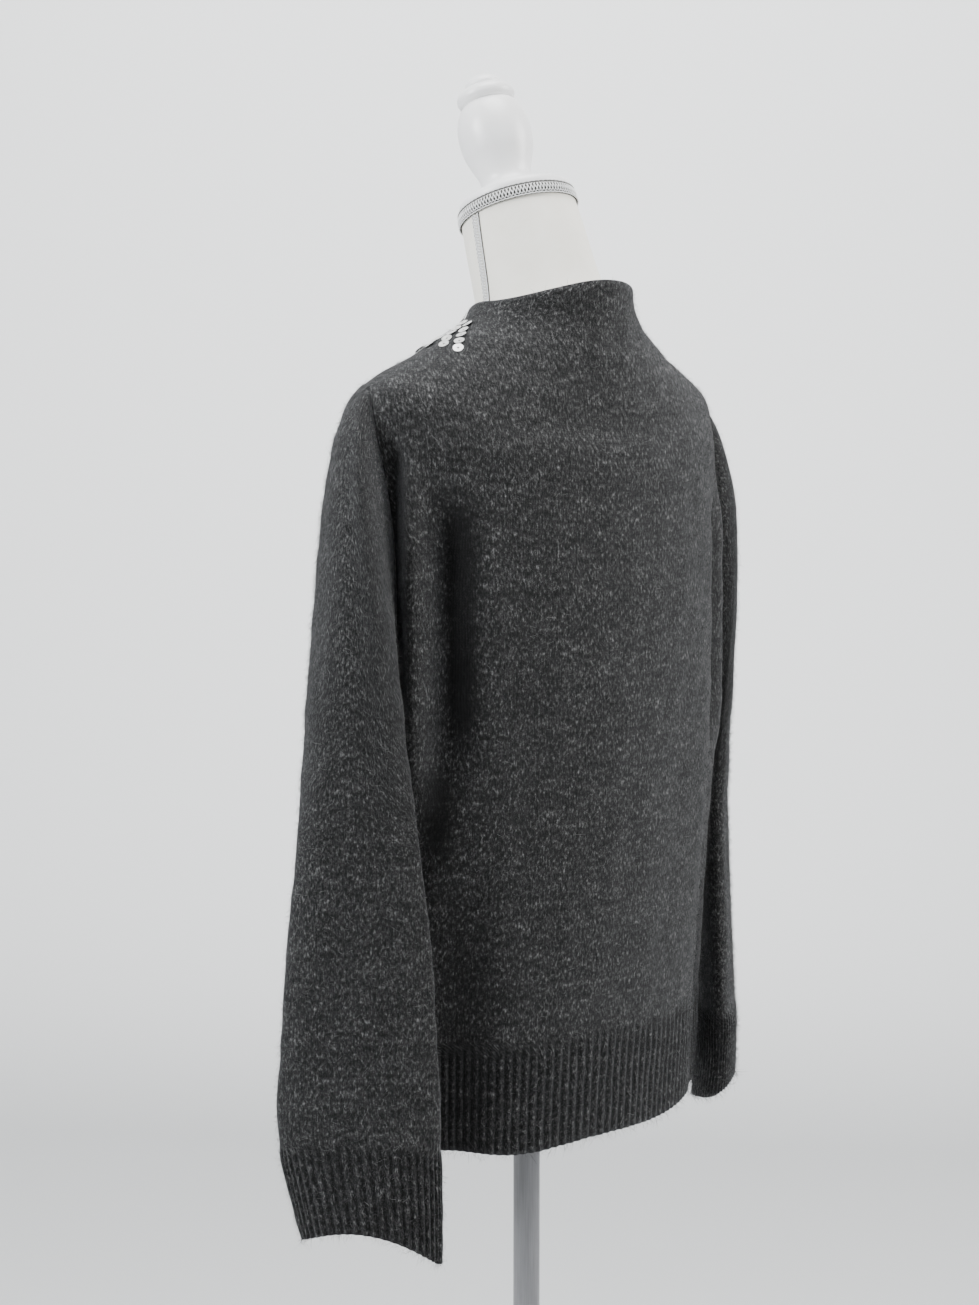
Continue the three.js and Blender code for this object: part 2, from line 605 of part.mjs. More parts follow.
// The braid over a side seam of the neck's cover; `hand` is 1 on the wearer's left.
function sideBraid(hand) {
  const body = new Body();
  const halfWidth = 3.7;
  const thickness = 1.4;
  const rows = [-88, -78, -58, -34, -12.6].map((along) => {
    const inside = column(NECK_RINGS, 'along', 'radius', along) + 0.5;
    const halfTurn = (halfWidth / inside) * (180 / Math.PI);
    const turns = [-halfTurn, 0, halfTurn];
    return body.row([
      ...turns.map((turn) => neckPoint(along, inside, hand * (SIDE + turn))),
      ...turns.reverse().map((turn) => neckPoint(along, inside + thickness, hand * (SIDE + turn))),
    ]);
  });
  for (let i = 1; i < rows.length; i += 1) {
    body.strip(rows[i - 1], rows[i], true, hand < 0);
  }
  body.fan(rows[0], hand > 0);
  body.fan(rows[rows.length - 1], hand < 0);
  return body.geometry();
}

function neckCap() {
  const profile = [[0, -4.5], [39, -4.5], [42.3, -3.5], [43.6, -1], [43.2, 2.5], [41, 4.6], [36, 5], [0, 5]];
  return leaning(turned(profile, 36));
}

function finial() {
  const profile = FINIAL_PROFILE.map(({ along, radius }) => [radius, along]);
  const top = FINIAL_PROFILE[FINIAL_PROFILE.length - 1].along + 1.4;
  const geometry = turned([[0, FINIAL_PROFILE[0].along], ...profile, [0, top]], 24);
  return leaning(geometry.translate(0, -FINIAL_OFFSET, 0));
}

function poleSocket() {
  const low = TORSO_BOTTOM - SEAM_GAP - 14;
  const profile = [[0, low], [24, low], [26, low + 2], [46, low + 8], [48, low + 10], [48, low + 14], [0, low + 14]];
  return turned(profile, 32);
}

function pole() {
  const low = BASE_THICKNESS + 22 + SEAM_GAP;
  const high = TORSO_BOTTOM - 14 - 2 * SEAM_GAP;
  return turned([[0, low], [POLE_RADIUS, low], [POLE_RADIUS, high], [0, high]], 24);
}

function baseBoss() {
  const low = BASE_THICKNESS + SEAM_GAP;
  const high = BASE_THICKNESS + 22;
  return turned([[0, low], [24, low], [24, low + 4], [16, low + 10], [15, high - 1], [14, high], [0, high]], 28);
}

function basePlate() {
  const edge = BASE_RADIUS;
  const top = BASE_THICKNESS;
  return turned([[0, 0], [edge - 1.5, 0], [edge, 1.5], [edge, top - 2.5], [edge - 2.5, top], [0, top]], 48);
}

// ---------------------------------------------------------------- assembly

const knit = { color: 0x464648, roughness: 0.96, metalness: 0 };
const jersey = { color: 0xf0ece0, roughness: 0.9, metalness: 0 };
const braid = { color: 0xd8d8d4, roughness: 0.6, metalness: 0.1 };
const wood = { color: 0xf2f2f4, roughness: 0.45, metalness: 0 };
const metal = { color: 0xd9dadc, roughness: 0.35, metalness: 0.6 };

const sweaterOnForm = new THREE.Group();

function add(name, geometry, look) {
  const mesh = new THREE.Mesh(geometry, new THREE.MeshStandardMaterial(look));
  mesh.name = name;
  sweaterOnForm.add(mesh);
}

add('back', panel(0), knit);
add('front', panel(180), knit);
add('sleeve_left', sleeve({ rings: LEFT_SLEEVE_RINGS, folds: LEFT_SLEEVE_FOLDS, hand: 1 }), knit);
add('sleeve_right', sleeve({ rings: RIGHT_SLEEVE_RINGS, folds: RIGHT_SLEEVE_FOLDS, hand: -1 }), knit);
add('form_torso', torso(), jersey);
add('form_neck_braid', neckBraid(), braid);
add('form_side_braid_left', sideBraid(1), braid);
add('form_side_braid_right', sideBraid(-1), braid);
add('form_neck_cap', neckCap(), wood);
add('form_finial', finial(), wood);
add('form_socket', poleSocket(), wood);
add('form_pole', pole(), metal);
add('form_base_boss', baseBoss(), metal);
add('form_base', basePlate(), metal);

export default sweaterOnForm;
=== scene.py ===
# %% [markdown]
# # A sequin sweater on a dress form
# This notebook dresses a imported CAD model. The sweater is a dark grey, brushed knit with a
# funnel neck, wide sleeves, ribbed hem and cuffs, and flat round sequins on its front. It
# stands on a limbless dress form with a braid-trimmed neck and a white turned finial.
# The first cell loads the imported model.

# %% Load the imported model
import math
import bmesh
import bpy
import numpy as np
from mathutils import Matrix, Vector


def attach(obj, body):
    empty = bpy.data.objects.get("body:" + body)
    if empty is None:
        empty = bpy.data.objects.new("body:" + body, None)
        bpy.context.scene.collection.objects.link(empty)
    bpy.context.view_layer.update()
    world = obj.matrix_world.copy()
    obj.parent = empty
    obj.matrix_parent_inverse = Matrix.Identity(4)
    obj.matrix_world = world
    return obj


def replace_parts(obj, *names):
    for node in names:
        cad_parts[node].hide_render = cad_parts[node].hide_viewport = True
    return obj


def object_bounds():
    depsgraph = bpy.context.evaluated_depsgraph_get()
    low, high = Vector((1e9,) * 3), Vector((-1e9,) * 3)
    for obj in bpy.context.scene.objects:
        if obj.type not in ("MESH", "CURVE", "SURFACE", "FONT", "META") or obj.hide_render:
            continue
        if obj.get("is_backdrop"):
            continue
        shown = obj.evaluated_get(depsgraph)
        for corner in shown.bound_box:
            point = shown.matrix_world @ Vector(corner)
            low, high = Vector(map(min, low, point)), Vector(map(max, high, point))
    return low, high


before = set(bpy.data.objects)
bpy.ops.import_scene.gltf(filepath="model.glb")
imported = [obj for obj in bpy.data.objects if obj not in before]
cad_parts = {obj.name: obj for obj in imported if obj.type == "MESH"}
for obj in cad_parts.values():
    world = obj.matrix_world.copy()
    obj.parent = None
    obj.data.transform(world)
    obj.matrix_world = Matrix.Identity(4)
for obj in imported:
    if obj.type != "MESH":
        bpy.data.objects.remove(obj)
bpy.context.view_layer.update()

MM = 0.001

# %% [markdown]
# The camera stands behind the wearer's left shoulder, just under two metres away, and looks
# down a little. A camera is aimed with a forward direction, which is turned into a rotation
# with to_track_quat, so no angle has to be guessed in the editor.

# %% Place the camera
STAND_AZIMUTH = math.radians(43.0)
CAMERA_DISTANCE, CAMERA_HEIGHT = 1.950, 1.305
AIM_ASIDE, AIM_DOWN = math.radians(0.847), math.radians(5.61)
SENSOR_WIDTH, FOCAL_LENGTH = 36.0, 70.9


def place_object(name, data):
    made = bpy.data.objects.new(name, data)
    bpy.context.scene.collection.objects.link(made)
    return made


towards = Vector((math.sin(STAND_AZIMUTH), math.cos(STAND_AZIMUTH), 0))
heading = Matrix.Rotation(AIM_ASIDE, 3, "Z") @ -towards
forward = (heading * math.cos(AIM_DOWN) + Vector((0, 0, -math.sin(AIM_DOWN)))).normalized()
lens = bpy.data.cameras.new("camera")
lens.sensor_width, lens.lens = SENSOR_WIDTH, FOCAL_LENGTH
camera = place_object("camera", lens)
camera.location = towards * CAMERA_DISTANCE + Vector((0, 0, CAMERA_HEIGHT))
camera.rotation_mode = "QUATERNION"
camera.rotation_quaternion = forward.to_track_quat("-Z", "Y")
bpy.context.scene.camera = camera
print("camera at", [round(v, 3) for v in camera.location])

# %% [markdown]
# A photographer's cove is a floor that curves up into a wall with no corner, so no horizon
# line shows. Spinning one bent profile round the upright axis makes a cove that is the same
# from every side. It is part of the studio and not of the object, so it is staged.

# %% Spin the cove and hang the soft lights
COVE_FLOOR, COVE_BEND, COVE_TOP = 4.2, 2.3, 7.5     # metres
SKY_STRENGTH = 0.22


def new_object(name, bm):
    mesh = bpy.data.meshes.new(name)
    bm.to_mesh(mesh)
    bm.free()
    mesh.polygons.foreach_set("use_smooth", [True] * len(mesh.polygons))
    return place_object(name, mesh)


def spin_profile(points, steps):
    """A bmesh turned from (radius, height) points, in metres, like wood on a lathe."""
    bm = bmesh.new()
    verts = [bm.verts.new((r, 0, z)) for r, z in points]
    edges = [bm.edges.new(pair) for pair in zip(verts, verts[1:])]
    bmesh.ops.spin(bm, geom=verts + edges, cent=(0, 0, 0), axis=(0, 0, 1), dvec=(0, 0, 0),
                   angle=math.tau, steps=steps, use_merge=True, use_duplicate=False)
    bmesh.ops.remove_doubles(bm, verts=bm.verts, dist=1e-6)
    bmesh.ops.recalc_face_normals(bm, faces=bm.faces)
    return bm


def lathe(outline, steps):
    """The same, from (radius, height) points in millimetres."""
    return spin_profile([(r * MM, z * MM) for r, z in outline], steps)


def node_material(name):
    material = bpy.data.materials.new(name)
    material.use_nodes = True
    tree = material.node_tree
    tree.nodes.clear()
    output = tree.nodes.new("ShaderNodeOutputMaterial")
    shader = tree.nodes.new("ShaderNodeBsdfPrincipled")
    tree.links.new(shader.outputs[0], output.inputs[0])
    return material, tree, shader


bend = [(COVE_FLOOR + COVE_BEND * math.sin(t), COVE_BEND - COVE_BEND * math.cos(t))
        for t in np.linspace(0, math.pi / 2, 12)]
outline = [(0, 0), (2, 0), *bend, (COVE_FLOOR + COVE_BEND, COVE_TOP)]
cove = new_object("cove", spin_profile(outline, 96))
cove.data.flip_normals()
cove_paint, _, cove_shader = node_material("cove paint")
cove_shader.inputs["Base Color"].default_value = (0.80, 0.81, 0.815, 1)
cove_shader.inputs["Roughness"].default_value = 0.9
cove.data.materials.append(cove_paint)
cove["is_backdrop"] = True

world = bpy.data.worlds.new("soft sky")
bpy.context.scene.world = world
world.use_nodes = True
sky = world.node_tree.nodes["Background"]
sky.inputs["Color"].default_value = (0.93, 0.96, 1.0, 1)
sky.inputs["Strength"].default_value = SKY_STRENGTH


def soft_light(name, place, target, size, power, colour):
    lamp = bpy.data.lights.new(name, "AREA")
    lamp.shape, lamp.size, lamp.energy, lamp.color = "DISK", size, power, colour
    made = place_object(name, lamp)
    made.location = place
    made.rotation_mode = "QUATERNION"
    made.rotation_quaternion = (Vector(target) - Vector(place)).to_track_quat("-Z", "Y")


right_of_camera = Vector((-math.cos(STAND_AZIMUTH), math.sin(STAND_AZIMUTH), 0))
middle, high = Vector((0, 0, 1.1)), Vector((0, 0, 1))
wall_spot = Vector((-4.0, -4.0, 3.4))
LIGHTS = (   # name, aside, towards the camera, up, what it lights, size, watts, colour
    ("window", 2.4, 0.1, 1.1, middle, 1.5, 84, (1.0, 0.99, 0.97)),
    ("fill", -2.2, 1.25, 1.3, middle, 1.1, 104, (0.96, 0.98, 1.0)),
    ("ceiling", 0, 0.2, 2.2, middle, 1.6, 75, (1.0, 1.0, 1.0)),
    ("wall", 0, -2.6, 2.4, wall_spot, 1.8, 360, (1.0, 1.0, 1.0)),
)
for name, aside, nearer, up, target, size, power, colour in LIGHTS:
    place = middle + right_of_camera * aside + towards * nearer + high * up
    soft_light(name, place, target, size, power, colour)
print("studio: one cove, four soft lights")

# %% [markdown]
# The cloth is described by rings, as a dressmaker measures a figure: how wide and how deep
# it is at each height. A smooth curve through the rows of such a table gives the form in
# between. The same rings and folds made the CAD solids. A few waves are added here only.

# %% The sweater's measures, in millimetres
def table(names, rows):
    return dict(zip(names.split(), np.array(rows, float).T))


BODY = table("side backZ frontZ halfWidth back front centreY", [
    (760, 760, 760, 158, 92, 92, 0), (842, 842, 842, 161, 98, 98, 0),
    (890, 890, 890, 163, 102, 102, 0), (945, 945, 945, 166, 106, 107, 0),
    (1015, 1015, 1015, 170, 110, 113, 0), (1100, 1098, 1098, 171, 112, 118, 0),
    (1180, 1172, 1168, 171, 111, 113, 0), (1250, 1236, 1222, 171, 107, 102, 1),
    (1288, 1266, 1246, 169, 102, 95, 3), (1312, 1287, 1264, 161, 93, 88, 5),
    (1326, 1306, 1281, 139, 89, 83, 7), (1338, 1323, 1297, 115, 83, 76, 10),
    (1349, 1337, 1311, 96, 78, 70, 14), (1357, 1349, 1323, 81, 72, 63, 17),
    (1364, 1364, 1333, 70, 68, 61, 19), (1371, 1379, 1343, 64, 67, 59, 20),
    (1377, 1392, 1352, 61, 67, 58, 21),
])
FOLDS = table("angle width height top bottom fade", [
    (64.5, 4.8, 12, 1290, 975, 80), (53.5, 5.8, -13, 1262, 1000, 70),
    (72, 4.0, -8, 1300, 1025, 50), (-65, 5.5, 9, 1275, 990, 80),
    (-55, 6.0, -9, 1250, 1010, 70), (114, 6.0, 5, 1270, 1000, 70),
    (128, 6.5, -9, 1255, 990, 70), (-114, 5.5, 7, 1275, 1005, 70),
    (-127, 6.0, -8, 1245, 1000, 70), (-68, 7, 2.5, 1010, 700, 80),
    (8, 9, 1.5, 1180, 820, 120), (-22, 8, -1.5, 1150, 800, 120),
    (160, 9, 3, 1060, 800, 110), (-158, 8, 3, 1040, 790, 110),
    (180, 8, -3, 1050, 820, 100),
])
# Slight waves that only the soft cloth shows. The last two are shallow hollows low on the
# back, beside the sleeves.
WAVES = table("angle width height top bottom fade", [
    (40, 3.5, 0.9, 1240, 1010, 80), (30, 4.0, -0.8, 1120, 850, 90),
    (18, 3.0, 0.6, 1010, 790, 70), (-8, 3.5, 0.6, 1060, 830, 80),
    (-36, 4.0, 0.8, 1190, 900, 90), (-46, 3.0, -0.9, 1110, 860, 80),
    (62, 3.5, 0.9, 960, 800, 60), (74, 3.0, -1.0, 930, 790, 50),
    (-80, 3.0, 1.0, 960, 800, 60), (140, 4.0, 1.0, 1100, 900, 80),
    (-143, 3.5, -1.0, 1120, 880, 80), (152, 3.0, 0.8, 960, 800, 60),
    (-172, 3.5, 0.8, 1150, 930, 80), (100, 3.0, -1.0, 980, 800, 70),
    (49, 8, -3.5, 1010, 690, 90), (-52, 8, -3.0, 1000, 690, 90),
])
UNDERARM, SHOULDER, ARMHOLE_DEPTH = 1015, 1312, 18
HEM, HEM_TILT, RIB_TOP = 760, 4, 842
WALL = 2.5


def column(measures, key, name, value):
    """The smooth curve through one column of a table, at any value of its key column."""
    keys, values = measures[key], measures[name]
    if keys[0] > keys[-1]:
        keys, values = keys[::-1], values[::-1]
    value = np.asarray(value, float)
    last = len(keys) - 1
    i = np.clip(np.searchsorted(keys, value, side="right") - 1, 0, last - 1)
    before, after = np.maximum(i - 1, 0), np.minimum(i + 2, last)
    span = keys[i + 1] - keys[i]
    t = np.clip((value - keys[i]) / span, 0, 1)
    leave = (values[i + 1] - values[before]) / (keys[i + 1] - keys[before]) * span
    reach = (values[after] - values[i]) / (keys[after] - keys[i]) * span
    return ((2 * t**3 - 3 * t**2 + 1) * values[i] + (t**3 - 2 * t**2 + t) * leave
            + (3 * t**2 - 2 * t**3) * values[i + 1] + (t**3 - t**2) * reach)


def ease(value):
    t = np.clip(value, 0, 1)
    return t * t * (3 - 2 * t)


def turn_apart(a, b):
    return np.abs((a - b + 180) % 360 - 180)


def fold_push(folds, key, angle, height):
    """How far all the folds of a table push the cloth out at an angle and a height."""
    push = np.zeros(np.broadcast(angle, height).shape)
    for i in range(len(folds[key])):
        strength = (ease((folds["top"][i] - height) / folds["fade"][i])
                    * ease((height - folds["bottom"][i]) / folds["fade"][i]))
        away = turn_apart(angle, folds[key][i]) / folds["width"][i]
        push = push + folds["height"][i] * np.exp(-away**2) * strength
    return push


def ring_point(rings, side, turn):
    """A point on a ring given by half its width and its depth to the back and to the front."""
    to_back = np.cos(turn) >= 0
    half_width = column(rings, "side", "halfWidth", side)
    depth = np.where(to_back, column(rings, "side", "back", side), column(rings, "side", "front", side))
    end = np.where(to_back, column(rings, "side", "backZ", side), column(rings, "side", "frontZ", side))
    x = half_width * np.sin(turn)
    y = column(rings, "side", "centreY", side) + depth * np.cos(turn)
    z = side + (end - side) * np.cos(turn) ** 2
    return x, y, z, half_width, depth


def body_point(side, angle, waves=True):
    """Points of the body's outer face: `angle` is 0 at the centre back, 90 at the left seam."""
    side, angle = np.broadcast_arrays(np.asarray(side, float), np.asarray(angle, float))
    turn = np.radians(angle)
    x, y, z, half_width, depth = ring_point(BODY, side, turn)
    out = np.stack([np.sin(turn) / half_width, np.cos(turn) / depth], -1)
    out /= np.linalg.norm(out, axis=-1, keepdims=True)
    push = fold_push(FOLDS, "angle", angle, side)
    if waves:
        push = push + fold_push(WAVES, "angle", angle, side)
    z = z - HEM_TILT * (1 - ease((side - HEM) / 160)) * np.sin(turn)
    return np.stack([x + out[..., 0] * push, y + out[..., 1] * push, z], -1)


def unit(vectors):
    return vectors / np.linalg.norm(vectors, axis=-1, keepdims=True)


def armhole_cut(side):
    level = np.clip((side - (UNDERARM + SHOULDER) / 2) / ((SHOULDER - UNDERARM) / 2), -1, 1)
    return ARMHOLE_DEPTH * np.sqrt(1 - level * level)


chest = np.linalg.norm(np.diff(body_point(1100, np.linspace(-180, 180, 361)), axis=0), axis=1).sum()
print(f"the cloth measures {chest:.0f} mm round the chest")

# %% [markdown]
# Brushed knit is three things at once: small V-shaped stitches, a blend of dark and light
# fibres (a mélange yarn), and a haze of loose fibres over both. The stitches and the blend
# are a node material that reads the piece's own UV map, laid out in metres, so the gauge
# stays true over every fold. The haze is modelled later.

# %% Mix the knit material
def add_node(tree, kind, **settings):
    made = tree.nodes.new("ShaderNode" + kind)
    for name, value in settings.items():
        if name in made.inputs:
            made.inputs[name].default_value = value
        else:
            setattr(made, name, value)
    return made


def calc(tree, operation, a, b=None):
    made = tree.nodes.new("ShaderNodeMath")
    made.operation = operation
    for socket, value in zip(made.inputs, (a, b)):
        if isinstance(value, (int, float)):
            socket.default_value = value
        elif value is not None:
            tree.links.new(value, socket)
    return made.outputs[0]


def stretched(tree, source, scale):
    mapping = tree.nodes.new("ShaderNodeMapping")
    mapping.inputs["Scale"].default_value = scale
    tree.links.new(source, mapping.inputs["Vector"])
    return mapping.outputs[0]


def noise(tree, vector, scale, detail=2.0, roughness=0.6):
    made = add_node(tree, "TexNoise", Scale=scale, Detail=detail, Roughness=roughness)
    tree.links.new(vector, made.inputs["Vector"])
    return made.outputs["Fac"]


def ramp(tree, value, stops):
    made = tree.nodes.new("ShaderNodeValToRGB")
    elements = made.color_ramp.elements
    for element, (place, colour) in zip(elements, (stops[0], stops[-1])):
        element.position, element.color = place, colour
    for place, colour in stops[1:-1]:
        elements.new(place).color = colour
    tree.links.new(value, made.inputs[0])
    return made.outputs[0]


def grey(level):
    return (level, level, level, 1)


def blend_colours(tree, how, share, a, b):
    made = tree.nodes.new("ShaderNodeMix")
    made.data_type, made.blend_type = "RGBA", how
    for socket, value in ((made.inputs[0], share), (made.inputs[6], a), (made.inputs[7], b)):
        if isinstance(value, (float, tuple)):
            socket.default_value = value
        else:
            tree.links.new(value, socket)
    return made.outputs[2]


def bump(tree, height, distance, strength=1.0):
    made = add_node(tree, "Bump", Distance=distance, Strength=strength)
    tree.links.new(height, made.inputs["Height"])
    return made.outputs[0]


WALE, COURSE = 2.6 * MM, 1.9 * MM       # width and height of one stitch


def knit_material(name):
    material, tree, shader = node_material(name)
    uv = tree.nodes.new("ShaderNodeUVMap")
    uv.uv_map = "knit"
    place = uv.outputs[0]
    grain = noise(tree, stretched(tree, place, (1, 0.45, 1)), 800, 3, 0.75)
    fleck = noise(tree, stretched(tree, place, (1, 0.5, 1)), 420, 2, 0.6)
    patch = noise(tree, place, 75, 3, 0.6)
    band = noise(tree, stretched(tree, place, (0.12, 1, 1)), 130, 2, 0.5)
    blend = calc(tree, "ADD", calc(tree, "MULTIPLY", grain, 0.50), calc(tree, "MULTIPLY", fleck, 0.34))
    blend = calc(tree, "ADD", blend, calc(tree, "MULTIPLY", patch, 0.12))
    blend = calc(tree, "ADD", blend, calc(tree, "MULTIPLY", band, 0.06))
    yarn = ramp(tree, blend, [(0.38, grey(0.0025)), (0.46, grey(0.008)), (0.52, grey(0.022)),
                              (0.58, grey(0.064)), (0.65, grey(0.20))])
    # Painted shade: the groove mark darkens the yarn in the rib grooves, and the fold mark darkens it in
    # the deepest folds and beside the sleeves.
    for mark, darkest in (("groove", 0.22), ("fold", 0.10)):
        stored = tree.nodes.new("ShaderNodeAttribute")
        stored.attribute_name = mark
        shade = ramp(tree, stored.outputs["Fac"], [(0.0, grey(1.0)), (1.0, grey(darkest))])
        yarn = blend_colours(tree, "MULTIPLY", 1.0, yarn, shade)
    tree.links.new(yarn, shader.inputs["Base Color"])
    # One stitch is a V: its two legs slope towards the middle of the wale.
    split = tree.nodes.new("ShaderNodeSeparateXYZ")
    tree.links.new(place, split.inputs[0])
    across = calc(tree, "FRACT", calc(tree, "DIVIDE", split.outputs[0], WALE))
    leg = calc(tree, "ABSOLUTE", calc(tree, "SUBTRACT", across, 0.5))
    slope = calc(tree, "MULTIPLY", leg, -1.6)
    up = calc(tree, "ADD", calc(tree, "DIVIDE", split.outputs[1], COURSE), slope)
    row = calc(tree, "SINE", calc(tree, "MULTIPLY", up, math.tau))
    plump = calc(tree, "SINE", calc(tree, "MULTIPLY", leg, math.tau))
    stitch = calc(tree, "MULTIPLY", calc(tree, "ADD", calc(tree, "MULTIPLY", row, 0.35), 0.65), plump)
    rough = calc(tree, "ADD", calc(tree, "MULTIPLY", stitch, 0.35), calc(tree, "MULTIPLY", grain, 0.65))
    tree.links.new(bump(tree, rough, 0.9 * MM, 0.8), shader.inputs["Normal"])
    shader.inputs["Roughness"].default_value = 0.95
    shader.inputs["Specular IOR Level"].default_value = 0.2
    shader.inputs["Sheen Weight"].default_value = 0.12
    shader.inputs["Sheen Roughness"].default_value = 0.5
    shader.inputs["Sheen Tint"].default_value = (0.85, 0.87, 0.92, 1)
    return material


knit = knit_material("brushed grey knit")
print("knit material:", len(knit.node_tree.nodes), "nodes")

# %% [markdown]
# Each knitted piece starts as a flat grid, just as a knitted panel starts flat, and is then
# laid over the surface that the measures describe. A Solidify modifier gives it the cloth's
# thickness, inwards, so the outer face stays where it was laid. Ribs are real relief: the
# grid has five columns for each rib.

# %% Lay a grid over a surface
def grid_normals(points, facing, closed=False):
    if closed:
        points = np.concatenate([points[:, -2:-1], points, points[:, 1:2]], axis=1)
    normals = unit(np.cross(np.gradient(points, axis=1), np.gradient(points, axis=0))) * facing
    return normals[:, 1:-1] if closed else normals


def laid_grid(name, points, facing, closed=False, wall=WALL, marks=None):
    """A grid mesh laid over rows of points in millimetres; `marks` names values stored on them."""
    rows, columns = points.shape[:2]
    bm = bmesh.new()
    bm.loops.layers.uv.new("knit")
    bmesh.ops.create_grid(bm, x_segments=columns - 1, y_segments=rows - 1, size=1, calc_uvs=True)
    mesh = bpy.data.meshes.new(name)
    bm.to_mesh(mesh)
    flat = np.empty(len(mesh.vertices) * 3)
    mesh.vertices.foreach_get("co", flat)
    flat = flat.reshape(-1, 3)
    i = np.rint((flat[:, 0] + 1) / 2 * (columns - 1)).astype(int)
    j = np.rint((flat[:, 1] + 1) / 2 * (rows - 1)).astype(int)
    mesh.vertices.foreach_set("co", (points[j, i] * MM).ravel())
    step = np.linalg.norm(np.diff(points, axis=1), axis=-1)
    u = np.concatenate([np.zeros((rows, 1)), np.cumsum(step, axis=1)], axis=1)
    u = u - u[:, columns // 2:columns // 2 + 1]
    rise = np.linalg.norm(np.diff(points[:, columns // 2], axis=0), axis=-1)
    v = np.repeat(np.concatenate([[0], np.cumsum(rise)])[:, None], columns, axis=1)
    layout = np.stack([u, v], -1)
    for mark, value in (marks or {}).items():
        stored = mesh.attributes.new(mark, "FLOAT", "POINT")
        stored.data.foreach_set("value", np.broadcast_to(value, (rows, columns))[j, i].astype(float))
    owner = np.empty(len(mesh.loops), int)
    mesh.loops.foreach_get("vertex_index", owner)
    mesh.uv_layers["knit"].data.foreach_set("uv", (layout[j[owner], i[owner]] * MM).ravel())
    bm.clear()
    bm.from_mesh(mesh)
    bpy.data.meshes.remove(mesh)
    if closed:
        bmesh.ops.remove_doubles(bm, verts=bm.verts, dist=1e-6)
    if facing < 0:
        bmesh.ops.reverse_faces(bm, faces=bm.faces)
    made = new_object(name, bm)
    if wall:
        thick = made.modifiers.new("wall", "SOLIDIFY")
        thick.thickness, thick.offset = wall * MM, -1
    return made


def uneven(u, v, seed, size):
    """A soft random field of long and short waves, from -1 to 1, repeatable by its seed."""
    dice = np.random.default_rng(seed)
    total = np.zeros(np.broadcast(u, v).shape)
    for _ in range(14):
        length, lean = size * dice.uniform(0.6, 1.8), dice.uniform(0, math.pi)
        wave = (u * math.cos(lean) + v * math.sin(lean)) / length * math.tau
        total += np.sin(wave + dice.uniform(0, math.tau))
    return total / 5.3


RIB_HEIGHT = 1.4


def rib_lift(turns):
    """Height of the ribs: `turns` counts ribs, each a plump ridge with a narrow groove."""
    return RIB_HEIGHT * (1 - np.abs(np.cos(np.pi * turns)) ** 2.2)


# %% [markdown]
# The back and the front are each knitted in one with their half of the hem rib and of the
# funnel neck, so no seam shows at the collar. They meet at the side seams, along the
# shoulders and up the sides of the funnel. Brushed wool swallows the light in a deep fold,
# more than thin modelled cloth does, so the deepest folds and the rib grooves also carry a
# mark that darkens the yarn and its fibres. It is painted shade: it stays there in any
# light. Its bands have a table of their own, set close to the folds, and are not worked out
# from the shape.

# %% Knit the back and the front
HEM_RIBS = 70
FUNNEL_TOP = 1377
SHADE_FULL = 11      # the band height, in the table below, at which the shade is darkest
ARMHOLE_ROWS = (UNDERARM + SHOULDER
                - (SHOULDER - UNDERARM) * np.cos(np.linspace(0, math.pi, 61))) / 2
PANEL_SIDES = np.concatenate([np.linspace(HEM, RIB_TOP, 15), np.linspace(RIB_TOP, UNDERARM, 30)[1:],
                              ARMHOLE_ROWS[1:], np.linspace(SHOULDER, FUNNEL_TOP, 26)[1:]])
PANEL_SHARES = np.linspace(-1, 1, 5 * HEM_RIBS + 1)
SEAM = 0.1
# Bands of painted shade, darkest at SHADE_FULL: the deepest folds, and two broad bands low on the back
# beside the sleeves, where the sleeves shade the body.
SHADES = table("angle width height top bottom fade", [
    (69.5, 4.5, -10, 1300, 1040, 60), (50, 5.5, -12, 1262, 1040, 50), (57, 6, -10, 1070, 950, 50),
    (50, 12, -6, 990, 690, 110), (-55, 6, -9, 1250, 1010, 70), (128, 6.5, -9, 1255, 990, 70),
    (-127, 6, -8, 1245, 1000, 70), (-54, 11, -5, 1000, 690, 110),
])
HEM_LIFT = table("angle width height top bottom fade", [
    (63, 20, 6, 900, 600, 130), (30, 14, -3, 900, 600, 130), (-58, 18, 3, 900, 600, 130),
    (-20, 15, -2, 900, 600, 130), (130, 20, 3, 900, 600, 130), (-150, 22, 3, 900, 600, 130),
])
cloth_rows = {}


def panel_angle(middle_angle, side, share):
    seam = np.degrees(SEAM / column(BODY, "side", "halfWidth", side))
    return middle_angle + 90 * share - armhole_cut(side) * share**3 - share * seam


def panel(name, middle_angle, seed):
    side, share = PANEL_SIDES[:, None], PANEL_SHARES[None, :]
    angle = panel_angle(middle_angle, side, share)
    points = body_point(side, angle)
    points[..., 2] += fold_push(HEM_LIFT, "angle", angle, side)
    fold = ease(-fold_push(SHADES, "angle", angle, side) / SHADE_FULL)
    normals = grid_normals(points, -1)
    ribbed = ease((RIB_TOP + 2 - side) / 12)
    ribs = rib_lift((share + 1) / 2 * HEM_RIBS) * ribbed
    edge = ease((1 - np.abs(share)) / 0.06) * ease((FUNNEL_TOP - side) / 12)
    soft = 0.55 * uneven(points[..., 0], points[..., 2], seed, 34) * edge
    points = points + normals * (ribs + soft)[..., None]
    groove = (1 - ribs / RIB_HEIGHT) * ribbed
    cloth_rows[name] = points
    piece = laid_grid(name, points, -1, marks={"groove": groove, "fold": fold})
    piece.data.materials.append(knit)
    return piece


back = panel("back_knit", 0, 11)
front = panel("front_knit", 180, 12)
print("back and front:", len(back.data.polygons), "faces each")

# %% [markdown]
# A sleeve leaves the armhole, falls over a soft curve to the elbow and then hangs flat and
# empty. The curve is a cubic Bezier for each line down the sleeve, which is how a curtain
# maker would think of it: where the cloth leaves its seam, and how it arrives.

